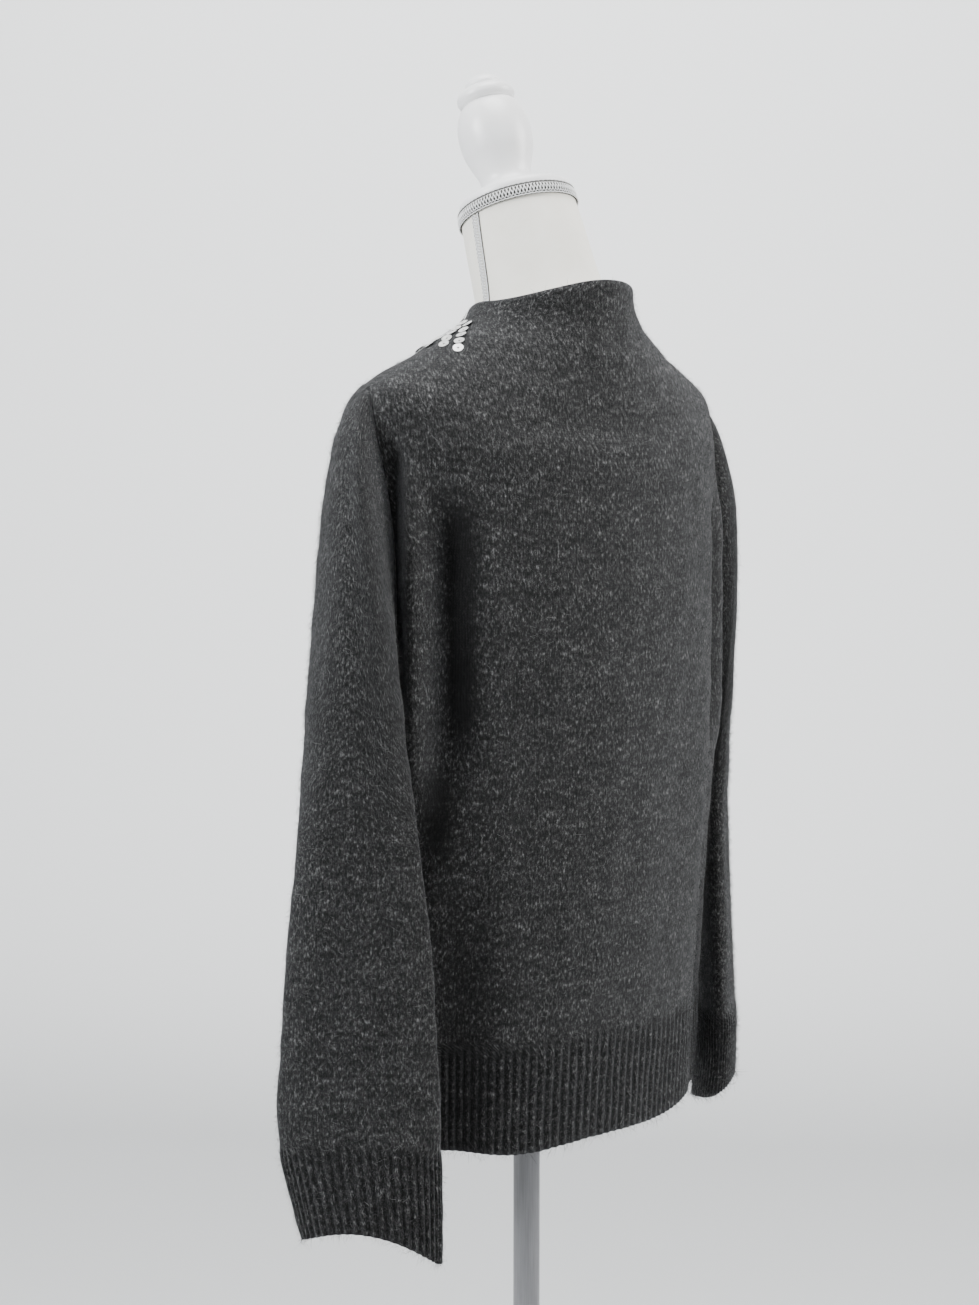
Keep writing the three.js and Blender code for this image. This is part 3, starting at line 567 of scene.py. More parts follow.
# %% Knit the sleeves
CAP = table("around outX outY outZ leanX leanY rise", [
    (0, 8, 4, -6, 0, 0, 8), (45, 14, 10, -4, 2, -2, 20), (90, 28, 23, 2, 10, -7, 90),
    (135, 38, 23, 4, 13, -4, 140), (180, 35, 6, -9, 4, 1, 210), (225, 25, 2, 2, -5, 4, 150),
    (270, 12, 1, 2, -4, 3, 80), (315, 8, 2, -4, -2, 2, 20), (360, 8, 4, -6, 0, 0, 8),
])
SLEEVE_NAMES = "z x y halfLength halfThick heading slant tip arch"
LEFT_SLEEVE = table(SLEEVE_NAMES, [
    (985, 200, 39, 43, 16, 137, 0, 0, 0), (947, 200, 39, 47.5, 16, 137, 0, 0, 0),
    (911, 200, 39, 51, 16, 137, 0, 0, 0), (874, 200, 39, 53, 16, 137, 0, 0, 0),
    (840, 200, 39, 55.5, 16, 137, 0, 0, 2), (806, 200, 39, 58, 16, 137, 0, 0, 4),
    (773, 199, 40, 57, 16.5, 137, -2, 0, 8), (740, 196.5, 42.5, 54, 18, 137, -5, 0, 13),
    (700, 193.5, 45.5, 49.5, 20, 137, -9, 0, 17),
])
RIGHT_SLEEVE = table(SLEEVE_NAMES, [
    (985, 197, 10, 44, 12, 133, 0, 0, 0), (947, 197, 11, 48, 12.5, 133, 0, 0, 0),
    (911, 196, 13, 51, 13, 133, 0, 0, 0), (874, 195, 16, 53, 13.5, 133, 0, 0, 0),
    (840, 194, 18, 55, 14, 133, 0, 0, 0), (815, 194, 19, 57, 14.5, 133, 0, 2, 1),
    (795, 194, 19, 57, 15, 133, 0, 5, 2), (770, 193, 19, 55, 15.5, 133, 0, 9, 4),
    (742, 192, 18, 50, 16, 133, 10, 10, 6),
])
LEFT_FOLDS = table("around width height top bottom fade", [
    (100, 14, 2.5, 1200, 760, 120), (150, 16, -2.5, 1180, 780, 120), (215, 18, 2, 1120, 820, 120),
])
RIGHT_FOLDS = table("around width height top bottom fade", [
    (120, 14, 2, 1190, 800, 120), (205, 16, -2, 1150, 800, 120),
])
CUFF_RIBS, CUFF_HEIGHT = 48, 76


def armhole_point(around, hand):
    turn = np.radians(around)
    side = (UNDERARM + SHOULDER) / 2 - ((SHOULDER - UNDERARM) / 2 - SEAM) * np.cos(turn)
    point = body_point(side, hand * (90 - (ARMHOLE_DEPTH - 0.05) * np.sin(turn)))
    return point * (hand, 1, 1)


def hanging_point(rings, height, around):
    def take(name):
        return column(rings, "z", name, height)
    turn, head = np.radians(around), np.radians(take("heading"))
    along, across = take("halfLength") * np.sin(turn), -take("halfThick") * np.cos(turn)
    x = take("x") + along * np.cos(head) + across * np.sin(head)
    y = take("y") + along * np.sin(head) - across * np.cos(head)
    z = height + take("slant") * np.sin(turn) - take("tip") * np.cos(turn)
    z = z + take("arch") * np.cos(turn) ** 2
    return np.stack(np.broadcast_arrays(x, y, z), -1)


def sleeve_point(rings, folds, hand, down, around):
    """`down` is 0 at the armhole, 1 at the elbow and 2 at the edge of the cuff."""
    down, around = np.broadcast_arrays(down, around)
    elbow, cuff = rings["z"][0], rings["z"][-1]
    start, end = armhole_point(around, hand), hanging_point(rings, elbow, around)
    cap = {name: column(CAP, "around", name, around) for name in CAP if name != "around"}
    leave = start + np.stack([cap["outX"], cap["outY"], cap["outZ"]], -1)
    arrive = end + np.stack([cap["leanX"], cap["leanY"], cap["rise"]], -1)
    t = np.clip(down, 0, 1)[..., None]
    upper = (1 - t) ** 3 * start + 3 * (1 - t) ** 2 * t * leave + 3 * (1 - t) * t**2 * arrive + t**3 * end
    lower = hanging_point(rings, elbow + (cuff - elbow) * np.clip(down - 1, 0, 1), around)
    point = np.where((down <= 1)[..., None], upper, lower)
    push = fold_push(folds, "around", around, point[..., 2]) * ease(down / 0.3)
    away = (point - hanging_point(rings, elbow, around + 180)) * (1, 1, 0)
    return point + unit(away) * push[..., None]


def sleeve(name, rings, folds, hand, seed):
    cuff_start = 2 - CUFF_HEIGHT / (rings["z"][0] - rings["z"][-1])
    down = np.concatenate([np.linspace(0, 1, 81), np.linspace(1, cuff_start, 44)[1:],
                           np.linspace(cuff_start, 2, 15)[1:]])[:, None]
    turns = np.linspace(0, 1, 5 * CUFF_RIBS + 1)[None, :]
    points = sleeve_point(rings, folds, hand, down, 360 * turns)
    normals = grid_normals(points, 1, closed=True)
    ribbed = ease((down - cuff_start + 0.01) / 0.045)
    ribs = rib_lift(turns * CUFF_RIBS) * ribbed
    soft = 0.5 * uneven(40 * np.sin(math.tau * turns), points[..., 2], seed, 30) * ease(down / 0.08)
    points = (points + normals * (ribs + soft)[..., None]) * (hand, 1, 1)
    # Painted shade in the cuff's rib grooves, stored as a mark for the yarn.
    groove = (1 - ribs / RIB_HEIGHT) * ribbed
    cloth_rows[name] = points
    piece = laid_grid(name, points, hand, closed=True, marks={"groove": groove})
    piece.data.materials.append(knit)
    return piece


sleeve_left = sleeve("sleeve_left_knit", LEFT_SLEEVE, LEFT_FOLDS, 1, 13)
sleeve_right = sleeve("sleeve_right_knit", RIGHT_SLEEVE, RIGHT_FOLDS, -1, 14)
for piece, node in ((back, "back"), (front, "front"),
                    (sleeve_left, "sleeve_left"), (sleeve_right, "sleeve_right")):
    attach(piece, "root")
    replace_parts(piece, node)
print("sleeves:", len(sleeve_left.data.polygons), "faces each")

# %% [markdown]
# The sequins are flat discs with a hole for the thread, set in chains down the front. One
# disc is turned from a small profile, and copies of it are placed along lines drawn on the
# front panel. Below the shoulders the chains hang straight and close together; every second
# one fans in over the yoke, round the side of the neck and up the funnel. Thousands of
# separate objects would be slow, so each half is one mesh.

# %% Sew the sequins on the front
CHAINS, CHAIN_SPACING, SEQUIN_PITCH = 22, 13.5, 8.8
# Up to YOKE_START the chains hang straight. Over YOKE_TURN they swing to the neck's side,
# where the outermost runs at the angle NECK_EDGE and leans by NECK_SLANT degrees a millimetre.
YOKE_START, YOKE_TURN, PLAIN_CHAIN_END = 1318, 27, 1322
NECK_SIDE, NECK_EDGE, NECK_SLANT, NECK_CHAINS = 1343.5, 73, 1.03, 8
NECK_PATCH_END, FRONT_OF_NECK = 1362, 112
SEAM_MARGIN, SHOULDER_MARGIN = 3.4, 17              # millimetres, degrees
HOLE, RIM, LIFT = 0.85, 4.0, 0.75
SEQUIN_OUTLINE = ((HOLE, 0), (3.9, 0.25), (RIM, 0.45), (HOLE, 0.25), (HOLE, 0))


def chain_angles(number, side):
    """Where one chain runs on each ring, and whether sequins are sewn there."""
    turns = np.linspace(180, 88, 93)
    ring = body_point(side[:, None], turns)
    step = np.linalg.norm(np.diff(ring, axis=1), axis=-1)
    walked = np.concatenate([np.zeros((len(side), 1)), np.cumsum(step, axis=1)], axis=1)
    angle = np.array([np.interp(CHAIN_SPACING * number, row, turns) for row in walked])
    edge = 90 + armhole_cut(side) + np.degrees(SEAM_MARGIN / column(BODY, "side", "halfWidth", side))
    edge = edge + SHOULDER_MARGIN * ease((side - 1262) / 34)
    if number % 2 == 0 and number <= 2 * NECK_CHAINS:
        yoke = NECK_EDGE + NECK_SLANT * (side - NECK_SIDE)
        part = number / 2 / NECK_CHAINS
        around_neck = 180 - (180 - yoke) * part ** (1.18 - 0.58 * part)
        angle = angle + (around_neck - angle) * ease((side - YOKE_START) / YOKE_TURN)
        beside_neck = (side > NECK_SIDE - 2) & (side < NECK_PATCH_END)
        return angle, (angle > edge) | beside_neck | (angle > FRONT_OF_NECK)
    return angle, (angle > edge) & (side < PLAIN_CHAIN_END)


def chain_places(number, hand):
    """Points, upward and outward directions along one chain counted from the middle."""
    side = np.arange(RIB_TOP + 9.0, 1374.5, 1.0)
    angle, sewn = chain_angles(number, side)
    if sewn.sum() < 4:
        return np.empty((3, 0, 3))
    side, angle = side[sewn], angle[sewn]
    walk = body_point(side, angle)
    length = np.concatenate([[0], np.cumsum(np.linalg.norm(np.diff(walk, axis=0), axis=1))])
    first = length[-1] - 3.2 - SEQUIN_PITCH / 2 * (number % 2)
    stops = np.arange(first, RIM, -SEQUIN_PITCH)
    side, angle = np.interp(stops, length, side), np.interp(stops, length, angle)
    sewn = np.array([chain_angles(number, one)[1][0] for one in side[:, None]])
    side, angle = side[sewn], hand * angle[sewn]
    sideways = body_point(side, angle + 0.5 * hand) - body_point(side, angle - 0.5 * hand)
    upward = unit(body_point(side + 1, angle) - body_point(side - 1, angle))
    return np.stack([body_point(side, angle), upward, unit(np.cross(upward, sideways)) * hand])


def scatter_copies(name, shape, places, rights, ups, outs):
    """One mesh of many placed copies of a small bmesh shape, from arrays."""
    small = bpy.data.meshes.new("pattern")
    shape.to_mesh(small)
    shape.free()
    verts = np.array([v.co for v in small.vertices])
    faces = [tuple(p.vertices) for p in small.polygons]
    bpy.data.meshes.remove(small)
    turned = np.einsum("vk,nkc->nvc", verts, np.stack([rights, ups, outs], 1))
    placed = places[:, None] * MM + turned
    shift = np.arange(len(places)) * len(verts)
    mesh = bpy.data.meshes.new(name)
    mesh.from_pydata(placed.reshape(-1, 3).tolist(), [],
                     [tuple(int(s) + k for k in face) for s in shift for face in faces])
    return place_object(name, mesh)


def sequin_material():
    material, tree, shader = node_material("silver white sequin")
    place = tree.nodes.new("ShaderNodeTexCoord").outputs["Object"]
    cloud = noise(tree, place, 350, 2)
    tree.links.new(ramp(tree, cloud, [(0.3, (0.62, 0.62, 0.61, 1)), (0.7, (0.84, 0.83, 0.80, 1))]),
                   shader.inputs["Base Color"])
    tree.links.new(ramp(tree, cloud, [(0.3, grey(0.3)), (0.7, grey(0.45))]), shader.inputs["Roughness"])
    shader.inputs["Metallic"].default_value = 0.25
    shader.inputs["Coat Weight"].default_value = 0.3
    return material


sequin_finish = sequin_material()
dice = np.random.default_rng(5)
for hand, word in ((1, "left"), (-1, "right")):
    innermost = 0 if hand > 0 else 1     # the middle chain belongs to the left half
    chains = [chain_places(number, hand) for number in range(innermost, CHAINS)]
    here, up, out = np.concatenate(chains, axis=1)
    out = unit(out + dice.normal(0, 0.07, out.shape))
    right = unit(np.cross(up, out))
    up = np.cross(out, right)
    here = here + out * LIFT + dice.normal(0, 0.25, (len(here), 1)) * up
    disc = lathe(SEQUIN_OUTLINE, 12)
    chain = scatter_copies("sequins_" + word, disc, here, right, up, out)
    chain.data.materials.append(sequin_finish)
    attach(chain, "root")
    print("sequins,", word, "half:", len(here))

# %% [markdown]
# Brushing a knit pulls loose fibres out of its face. Real hair is too heavy to export, so
# each fibre is a thin tapering ribbon of three triangles. Roots are drawn at random over
# the outer faces, more where a face is larger, and each fibre leans over and droops.

# %% Brush up the haze of fibres
def fibre_material():
    material, tree, shader = node_material("loose wool fibre")
    tone = tree.nodes.new("ShaderNodeAttribute")
    tone.attribute_name = "tone"
    tree.links.new(ramp(tree, tone.outputs["Fac"], [(0.0, grey(0.008)), (0.45, grey(0.028)),
                   (0.75, grey(0.09)), (1.0, grey(0.32))]), shader.inputs["Base Color"])
    shader.inputs["Roughness"].default_value = 0.8
    shader.inputs["Specular IOR Level"].default_value = 0.2
    return material


fibre = fibre_material()


def fibres(name, root, out, dice, shortest, longest, droop=0.3, light=1.0):
    """One mesh of loose fibres: roots and outward directions in metres, lengths in mm."""
    count = len(root)
    lie = unit(unit(np.cross(out, dice.normal(0, 1, (count, 3)))) - np.array([0, 0, droop]))
    length = dice.uniform(shortest, longest, (count, 1)) * dice.uniform(0.6, 1.3, (count, 1)) * MM
    lift = dice.uniform(0.1, 1.1, (count, 1)) ** 1.3
    middle = root + unit(lie + out * lift) * length * 0.5
    tip = middle + unit(lie + out * lift * 0.6 + dice.normal(0, 0.4, (count, 3))) * length * 0.5
    tip = tip + out * np.maximum(0, 0.2 * MM - ((tip - root) * out).sum(1, keepdims=True))
    width = dice.uniform(0.04, 0.085, (count, 1)) * MM
    edge = unit(np.cross(lie, dice.normal(0, 1, (count, 3)))) * width
    verts = np.stack([root - edge, root + edge, middle + edge * 0.8, middle - edge * 0.8, tip], 1)
    first = np.arange(count)[:, None] * 5
    made = bpy.data.meshes.new(name)
    faces = (first + [0, 1, 2, 3]).tolist() + (first + [3, 2, 4]).tolist()
    made.from_pydata(verts.reshape(-1, 3).tolist(), [], faces)
    tone = made.attributes.new("tone", "FLOAT", "POINT")
    tone.data.foreach_set("value", np.repeat(dice.beta(1.6, 2.2, count) * light, 5))
    made.materials.append(fibre)
    hair = place_object(name, made)
    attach(hair, "root")
    return hair


def haze(name, piece, count, seed):
    """Fibres over a whole piece of cloth, spread evenly by area."""
    mesh = piece.data
    n = len(mesh.polygons)
    area, normal, corner = np.empty(n), np.empty(n * 3), np.empty(n * 4, int)
    mesh.polygons.foreach_get("area", area)
    mesh.polygons.foreach_get("normal", normal)
    mesh.loops.foreach_get("vertex_index", corner)
    spot = np.empty(len(mesh.vertices) * 3)
    mesh.vertices.foreach_get("co", spot)
    dice = np.random.default_rng(seed)
    chosen = dice.choice(n, count, p=area / area.sum())
    a, b = dice.random((2, count, 1))
    quad = spot.reshape(-1, 3)[corner.reshape(-1, 4)][chosen]
    root = ((1 - a) * (1 - b) * quad[:, 0] + a * (1 - b) * quad[:, 1]
            + a * b * quad[:, 2] + (1 - a) * b * quad[:, 3])
    # Fibres over the fold mark are darkened with it: painted shade on the fibres.
    light = 1.0
    if "fold" in mesh.attributes:
        fold = np.empty(len(mesh.vertices))
        mesh.attributes["fold"].data.foreach_get("value", fold)
        light = 1 - 0.85 * fold[corner.reshape(-1, 4)[chosen, 0]]
    return fibres(name, root, normal.reshape(-1, 3)[chosen], dice, 2.5, 7.5, light=light)


def strays(name, edges, count, seed):
    """Longer loose fibres that hang from the free edges of the hem and the cuffs."""
    dice = np.random.default_rng(seed)
    line = np.concatenate(edges)[dice.integers(0, sum(len(e) for e in edges), count)]
    root = (line + dice.normal(0, 0.5, line.shape)) * MM
    return fibres(name, root, unit(line * (1, 1, 0) - (0, 0, 60)), dice, 4, 11, 0.9)


fullness = 1.0
for name, piece, count, seed in (("haze_back", back, 62000, 21), ("haze_front", front, 46000, 22),
                                 ("haze_sleeve_left", sleeve_left, 50000, 23),
                                 ("haze_sleeve_right", sleeve_right, 42000, 24)):
    made = haze(name, piece, int(count * fullness), seed)
    print(name, len(made.data.polygons) // 2, "fibres")
hem = [cloth_rows["back_knit"][0], cloth_rows["front_knit"][0]]
cuffs = [cloth_rows["sleeve_left_knit"][-1], cloth_rows["sleeve_right_knit"][-1]]
strays("strays_hem", hem, int(900 * fullness), 25)
strays("strays_cuffs", cuffs, int(700 * fullness), 26)

# %% [markdown]
# The dress form's torso is a padded figure covered with fine ivory jersey. Only its neck
# shows, and it leans forward with the finial. Under the cloth the torso follows the inside
# of the shoulders that rest on it.

# %% Cover the torso and the neck
FORM = table("side backZ frontZ halfWidth back front centreY", [
    (792, 792, 792, 138, 80, 78, 0), (826, 826, 826, 144, 84, 82, 0),
    (875, 875, 875, 136, 82, 82, 0), (950, 950, 950, 116, 72, 82, 0),
    (1015, 1015, 1015, 125, 80, 93, 0), (1095, 1095, 1095, 141, 91, 107, 0),
    (1170, 1165, 1160, 145, 94, 101, 0), (1240, 1228, 1214, 148, 95, 92, 1),
    (1284, 1262, 1242, 151, 92, 86, 3),
])
NECK = table("along radius", [(-96, 52.5), (-78, 48.5), (-58, 46.8), (-34, 45.6), (-4.8, 43.6)])
SEAT_GAP = 0.35
NECK_LEAN, NECK_TOP = math.radians(20), Vector((0, -14, 1454))


def neck_point(along, radius, angle):
    """A point on a ring square to the neck's leaning axis; `along` is from the neck's top."""
    turn = np.radians(angle)
    to_back = radius * np.cos(turn)
    y = NECK_TOP.y - along * math.sin(NECK_LEAN) + to_back * math.cos(NECK_LEAN)
    z = NECK_TOP.z + along * math.cos(NECK_LEAN) + to_back * math.sin(NECK_LEAN)
    return np.stack(np.broadcast_arrays(radius * np.sin(turn), y, z), -1)


def form_ring(side, angle):
    x, y, z, _, _ = ring_point(FORM, side, np.radians(angle))
    return np.stack(np.broadcast_arrays(x, y, z), -1)


def jersey_material():
    material, tree, shader = node_material("ivory jersey")
    uv = tree.nodes.new("ShaderNodeUVMap")
    uv.uv_map = "knit"
    split = tree.nodes.new("ShaderNodeSeparateXYZ")
    tree.links.new(uv.outputs[0], split.inputs[0])
    wale = calc(tree, "SINE", calc(tree, "MULTIPLY", split.outputs[0], math.tau / (0.9 * MM)))
    course = calc(tree, "SINE", calc(tree, "MULTIPLY", split.outputs[1], math.tau / (0.7 * MM)))
    cloud = noise(tree, uv.outputs[0], 60, 3)
    tree.links.new(ramp(tree, cloud, [(0.3, (0.91, 0.885, 0.80, 1)), (0.7, (0.95, 0.93, 0.85, 1))]),
                   shader.inputs["Base Color"])
    fine = calc(tree, "ADD", wale, calc(tree, "MULTIPLY", course, 0.6))
    tree.links.new(bump(tree, fine, 0.06 * MM, 0.5), shader.inputs["Normal"])
    shader.inputs["Roughness"].default_value = 0.85
    shader.inputs["Sheen Weight"].default_value = 0.15
    return material


turn = np.linspace(0, 360, 129)
rows = [form_ring(side, turn) for side in np.linspace(FORM["side"][0], FORM["side"][-1], 50)]
for side in BODY["side"][(BODY["side"] >= SHOULDER) & (BODY["side"] < 1360)]:
    seat = body_point(side + np.array([-1.0, 0, 1])[:, None], turn, waves=False)
    inward = grid_normals(seat, -1)[1]
    rows.append(seat[1] - inward * (WALL + SEAT_GAP))
for along in (-96, -90, -84, -78, -68, -58, -46, -34, -24, -14, -4.8):
    rows.append(neck_point(along, column(NECK, "along", "radius", along), turn))
torso = laid_grid("torso_jersey", np.array(rows), -1, closed=True, wall=0)
shell = bmesh.new()
shell.from_mesh(torso.data)
bmesh.ops.holes_fill(shell, edges=[e for e in shell.edges if e.is_boundary], sides=0)
shell.to_mesh(torso.data)
shell.free()
torso.data.materials.append(jersey_material())
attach(torso, "root")
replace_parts(torso, "form_torso")
print("torso:", len(torso.data.polygons), "faces")

# %% [markdown]
# The neck's top edge and its side seams are covered with a woven braid. A flat braid is a
# plait: cords that swing from side to side and pass over and under each other. Each cord is
# a curve with a round bevel, and a cosine of twice its swing's rate lifts it over the next.

# %% Plait the braids
def braid_material():
    material, tree, shader = node_material("silvery braid")
    place = tree.nodes.new("ShaderNodeTexCoord").outputs["Object"]
    fine = noise(tree, place, 1500, 2)
    tree.links.new(ramp(tree, fine, [(0.3, (0.66, 0.67, 0.68, 1)), (0.7, (0.90, 0.90, 0.89, 1))]),
                   shader.inputs["Base Color"])
    tree.links.new(bump(tree, fine, 0.1 * MM, 0.6), shader.inputs["Normal"])
    shader.inputs["Roughness"].default_value = 0.55
    shader.inputs["Sheen Weight"].default_value = 0.2
    return material


braid = braid_material()
BRAID_MIDDLE, NECK_BRAID_LENGTH, NECK_TURNS = -7, 283, 36
SIDE_BRAID_TOP, SIDE_BRAID_LENGTH, SIDE_TURN = -13, 74, 6.7


def new_cord(name, radius):
    cord = bpy.data.curves.new(name, "CURVE")
    cord.dimensions, cord.bevel_depth, cord.bevel_resolution = "3D", radius * MM, 1
    return cord


def add_strand(cord, points, closed=False):
    spline = cord.splines.new("POLY")
    spline.points.add(len(points) - 1)
    placed = np.concatenate([points * MM, np.ones((len(points), 1))], 1)
    spline.points.foreach_set("co", placed.ravel())
    spline.use_cyclic_u = closed


def trimming(name, cord, finish):
    cord.materials.append(finish)
    made = place_object(name, cord)
    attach(made, "root")
    return made


def plait(name, place, length, half_width, period, cord, closed, node):
    """Cords of one plait; place(distance, aside, out) gives a point, in millimetres."""
    curve = new_cord(name, cord)
    steps = int(length / period * 10)
    walk = np.arange(steps) / steps * length if closed else np.linspace(0, length, steps)
    strands = [(half_width * 0.72 * np.sin(math.tau * (walk / period + k / 3)),
                0.45 * np.cos(2 * math.tau * (walk / period + k / 3))) for k in range(3)]
    swing = math.tau * walk / (period * 0.5)
    for sign in (-1, 1):
        edge = sign * (half_width - 0.45 * cord + 0.35 * cord * np.sin(swing))
        strands.append((edge, 0.25 * np.cos(swing)))
    for aside, out in strands:
        add_strand(curve, place(walk, aside, cord + 0.45 + out), closed)
    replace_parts(trimming(name, curve, braid), node)


def round_neck(walk, aside, out):
    along = BRAID_MIDDLE + aside
    radius = 44.5 - 0.1 * (along - BRAID_MIDDLE) + out
    return neck_point(along, radius, 360 * walk / NECK_BRAID_LENGTH)


plait("neck_braid_cords", round_neck, NECK_BRAID_LENGTH, 5.0, NECK_BRAID_LENGTH / NECK_TURNS,
      0.42, True, "form_neck_braid")
# Painted shade: a near-black band under the neck braid's cords shows as the shade between them, and
# near-black lines along the side braids' edges are painted shadow on the jersey.
braid_shade, _, braid_shade_shader = node_material("painted braid shade")
braid_shade_shader.inputs["Base Color"].default_value = (0.055, 0.052, 0.048, 1)
braid_shade_shader.inputs["Roughness"].default_value = 0.9
band = lathe(((44.2, -11.9), (45.6, -11.9), (45.0, -2.2), (43.8, -2.2), (44.2, -11.9)), 128)

for hand, word in ((1, "left"), (-1, "right")):
    def down_side(walk, aside, out, hand=hand):
        along = SIDE_BRAID_TOP - walk
        radius = column(NECK, "along", "radius", along) + out - 0.2
        return neck_point(along, radius, hand * (90 + walk * 0.1 + np.degrees(aside / radius)))
    plait("side_braid_cords_" + word, down_side, SIDE_BRAID_LENGTH, 3.2, SIDE_TURN, 0.45,
          False, "form_side_braid_" + word)
    for sign in (-1, 1):
        thread = new_cord("side_braid_shadow", 0.32)
        line = down_side(np.linspace(0, SIDE_BRAID_LENGTH, 40), sign * 3.7, 0.75)
        add_strand(thread, line)
        trimming(f"side_braid_shadow_{word}_{'rear' if sign < 0 else 'fore'}", thread, braid_shade)
print("three braids plaited")

# %% [markdown]
# The cap and the finial are turned wood, painted white. A lathe cuts a profile round an
# axis, which is what bmesh's spin does. The finial is turned upright and then leaned over
# on the neck's axis.

# %% Turn the cap and the finial
FINIAL = table("along radius", [
    (5.2, 28), (8, 28.5), (10, 26.5), (13, 21.5), (18, 19.5), (24, 20.5), (32, 23.5), (42, 26.7),
    (54, 28), (64, 27.2), (73, 24.5), (79, 20.5), (80, 19), (81.5, 20.8), (85, 22.3), (89, 21.6),
    (92, 18.5), (93.5, 13.6), (96, 13.9), (99.5, 12.2), (102.5, 7.5),
])
FINIAL_OFFSET = 4


def leaned(name, bm, forward_by=0.0):
    """Leans a turned shape, in metres, over on the neck's axis and makes its object."""
    bmesh.ops.translate(bm, verts=bm.verts, vec=(0, -forward_by * MM, 0))
    bmesh.ops.rotate(bm, verts=bm.verts, cent=(0, 0, 0), matrix=Matrix.Rotation(NECK_LEAN, 3, "X"))
    bmesh.ops.translate(bm, verts=bm.verts, vec=NECK_TOP * MM)
    made = new_object(name, bm)
    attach(made, "root")
    return made


def painted_wood(name, low, high):
    material, tree, shader = node_material(name)
    place = tree.nodes.new("ShaderNodeTexCoord").outputs["Object"]
    cloud = noise(tree, place, 28, 3)
    tree.links.new(ramp(tree, cloud, [(0.3, low), (0.7, high)]), shader.inputs["Base Color"])
    brush = noise(tree, stretched(tree, place, (1, 1, 9)), 120, 3)
    tree.links.new(ramp(tree, brush, [(0.3, grey(0.30)), (0.7, grey(0.42))]), shader.inputs["Roughness"])
    tree.links.new(bump(tree, brush, 0.03 * MM, 0.5), shader.inputs["Normal"])
    shader.inputs["Coat Weight"].default_value = 0.25
    shader.inputs["Coat Roughness"].default_value = 0.25
    return material


white_paint = painted_wood("white satin paint", (0.90, 0.895, 0.89, 1), (0.93, 0.93, 0.94, 1))
# Dark brown painted shade for the slit under the cap.
slit_shade = painted_wood("painted slit shade", (0.30, 0.21, 0.13, 1), (0.42, 0.31, 0.20, 1))
rise = np.concatenate([np.linspace(5.2, 79, 60), np.linspace(79.5, 93.5, 30), np.linspace(94, 102.5, 16)])
profile = [(0, 5.2)] + [(float(column(FINIAL, "along", "radius", a)), a) for a in rise]
profile += [(5, 103.4), (2, 103.85), (0, 103.9)]
finial = leaned("finial_turned", lathe(profile, 96), FINIAL_OFFSET)
cap_profile = [(0, -4.2), (38.8, -4.2), (42.3, -3.5), (43.3, -2.4), (43.6, -1), (43.6, 0.6), (43.1, 2.5),
               (42.2, 3.9), (41, 4.6), (39.5, 4.9), (36, 5), (0, 5)]
cap = leaned("neck_cap_turned", lathe(cap_profile, 128))
# A thin dark brown ring fills the slit under the cap: painted shade of that slit.
rim_profile = [(36, -4.75), (42.9, -4.75), (43.1, -4.3), (36, -4.3), (36, -4.75)]
rim = leaned("cap_slit_shade", lathe(rim_profile, 128))
# The near-black band under the neck braid's cords is painted shade.
band = leaned("neck_braid_shade", band)
for piece, finish, node in ((finial, white_paint, "form_finial"), (cap, white_paint, "form_neck_cap"),
                            (rim, slit_shade, None), (band, braid_shade, None)):
    piece.data.materials.append(finish)
    if node:
        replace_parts(piece, node)
print("finial:", len(finial.data.polygons), "faces")

# %% [markdown]
# A pale metal pole runs up into a turned socket under the torso, and stands in a boss on a
# round steel plate. They are plain turned pieces with softened edges.

# %% Turn the pole, socket, boss and base
def satin_metal():
    material, tree, shader = node_material("pale satin metal")
    place = tree.nodes.new("ShaderNodeTexCoord").outputs["Object"]
    brush = noise(tree, stretched(tree, place, (1, 1, 0.03)), 900, 2)
    tree.links.new(ramp(tree, brush, [(0.3, (0.20, 0.20, 0.21, 1)), (0.7, (0.25, 0.25, 0.26, 1))]),
                   shader.inputs["Base Color"])
    tree.links.new(ramp(tree, brush, [(0.3, grey(0.28)), (0.7, grey(0.40))]), shader.inputs["Roughness"])
    shader.inputs["Metallic"].default_value = 0.45
    return material


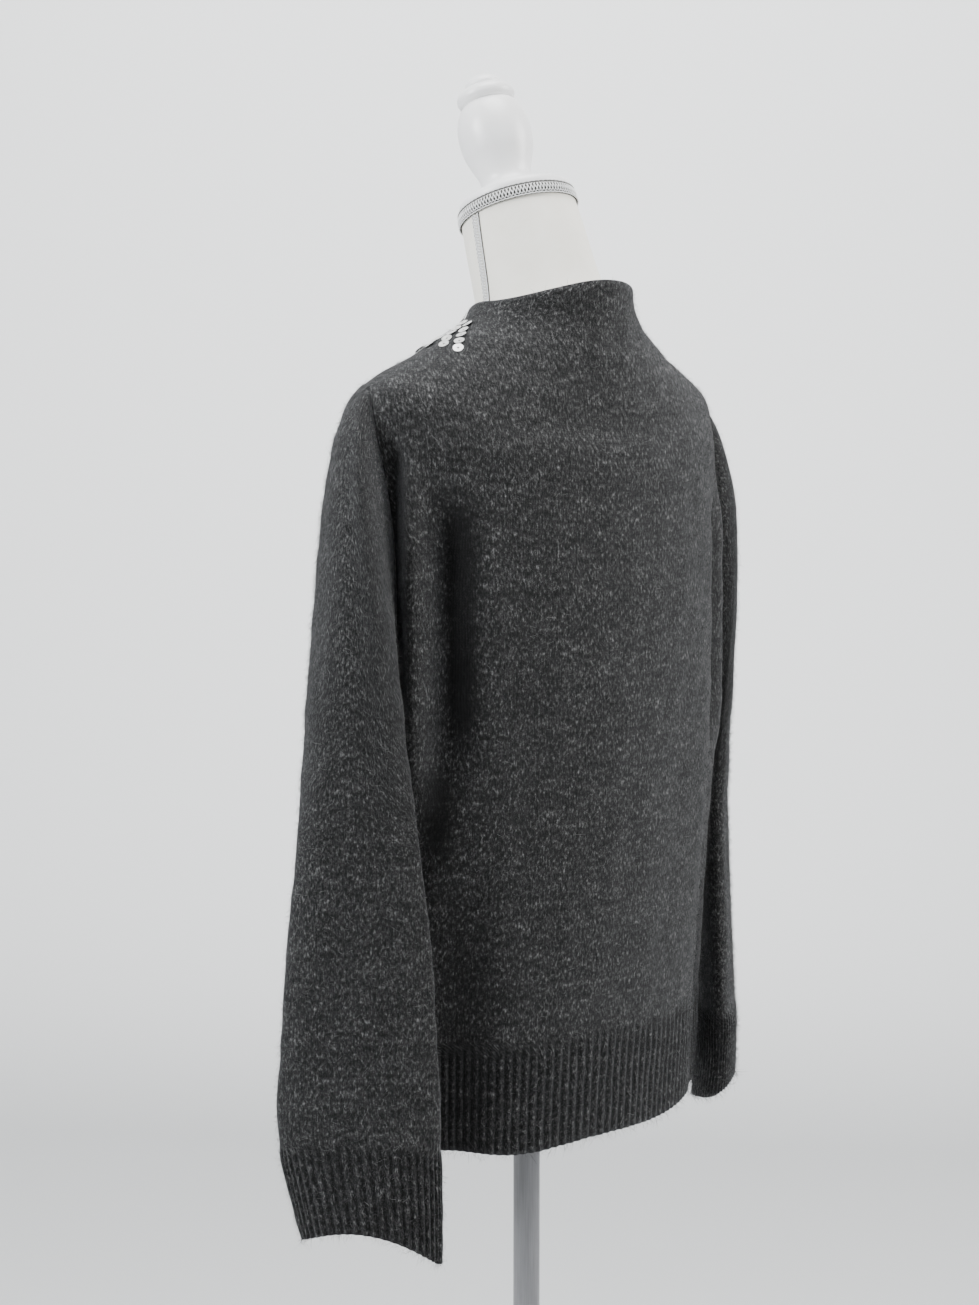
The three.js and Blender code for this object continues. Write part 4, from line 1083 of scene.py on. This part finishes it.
metal = satin_metal()
TURNED = {
    "form_socket": ("wood", white_paint, [
        (0, 777.7), (23, 777.7), (24.5, 778.3), (26, 779.7), (46, 785.7), (47.5, 786.6),
        (48, 787.7), (48, 790.8), (47.2, 791.5), (0, 791.7)]),
    "form_pole": ("metal", metal, [(0, 30.3), (10.3, 30.3), (10.3, 400), (10.3, 777.4), (0, 777.4)]),
    "form_base_boss": ("metal", metal, [
        (0, 8.3), (23.6, 8.3), (24, 9), (24, 11.6), (23, 13), (18, 16.3), (16, 18.3),
        (15.2, 22), (15, 29), (14, 30), (0, 30)]),
    "form_base": ("metal", metal, [
        (0, 0), (148.5, 0), (149.6, 0.5), (150, 1.5), (150, 5.5), (149.3, 7.1), (147.5, 8), (0, 8)]),
}
SHARP_CORNER, CLEAR_OF_AXIS = 0.6, 0.009       # radians, metres
for node, (slot, finish, outline) in TURNED.items():
    bm = lathe(outline, 96)
    corners = [e for e in bm.edges if e.calc_face_angle(0) > SHARP_CORNER
               and e.verts[0].co.xy.length > CLEAR_OF_AXIS]
    bmesh.ops.bevel(bm, geom=corners, offset=0.4 * MM, offset_type="OFFSET", segments=2, profile=0.5,
                    affect="EDGES", clamp_overlap=True, material=-1)
    piece = new_object(node.replace("form_", "") + "_turned", bm)
    piece.data.materials.append(finish)
    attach(piece, "root")
    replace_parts(piece, node)
print("pole, socket, boss and base turned")

# %% [markdown]
# Last, each hung sheet of cloth is printed with its area and the size it was cut to, measured
# along the modelled cloth: its widest row and the length down its middle. A sleeve's length is
# its longest line, and its width is its girth square to the sleeve, a little below the armhole.
# The area is summed over the same cloth. The model's box is printed at the end.

def cloth_area(piece):
    areas = np.empty(len(piece.data.polygons))
    piece.data.polygons.foreach_get("area", areas)
    return float(areas.sum())


for piece, flat in ((back, (0.462, 0.636)), (front, (0.462, 0.611)),
                    (sleeve_left, (0.336, 0.614)), (sleeve_right, (0.283, 0.567))):
    area = cloth_area(piece)
    print(piece.name, "area", round(area, 4), "of", round(flat[0] * flat[1], 4))

low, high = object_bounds()
print("visual box, metres:", [round(v, 3) for v in (*low, *high)])
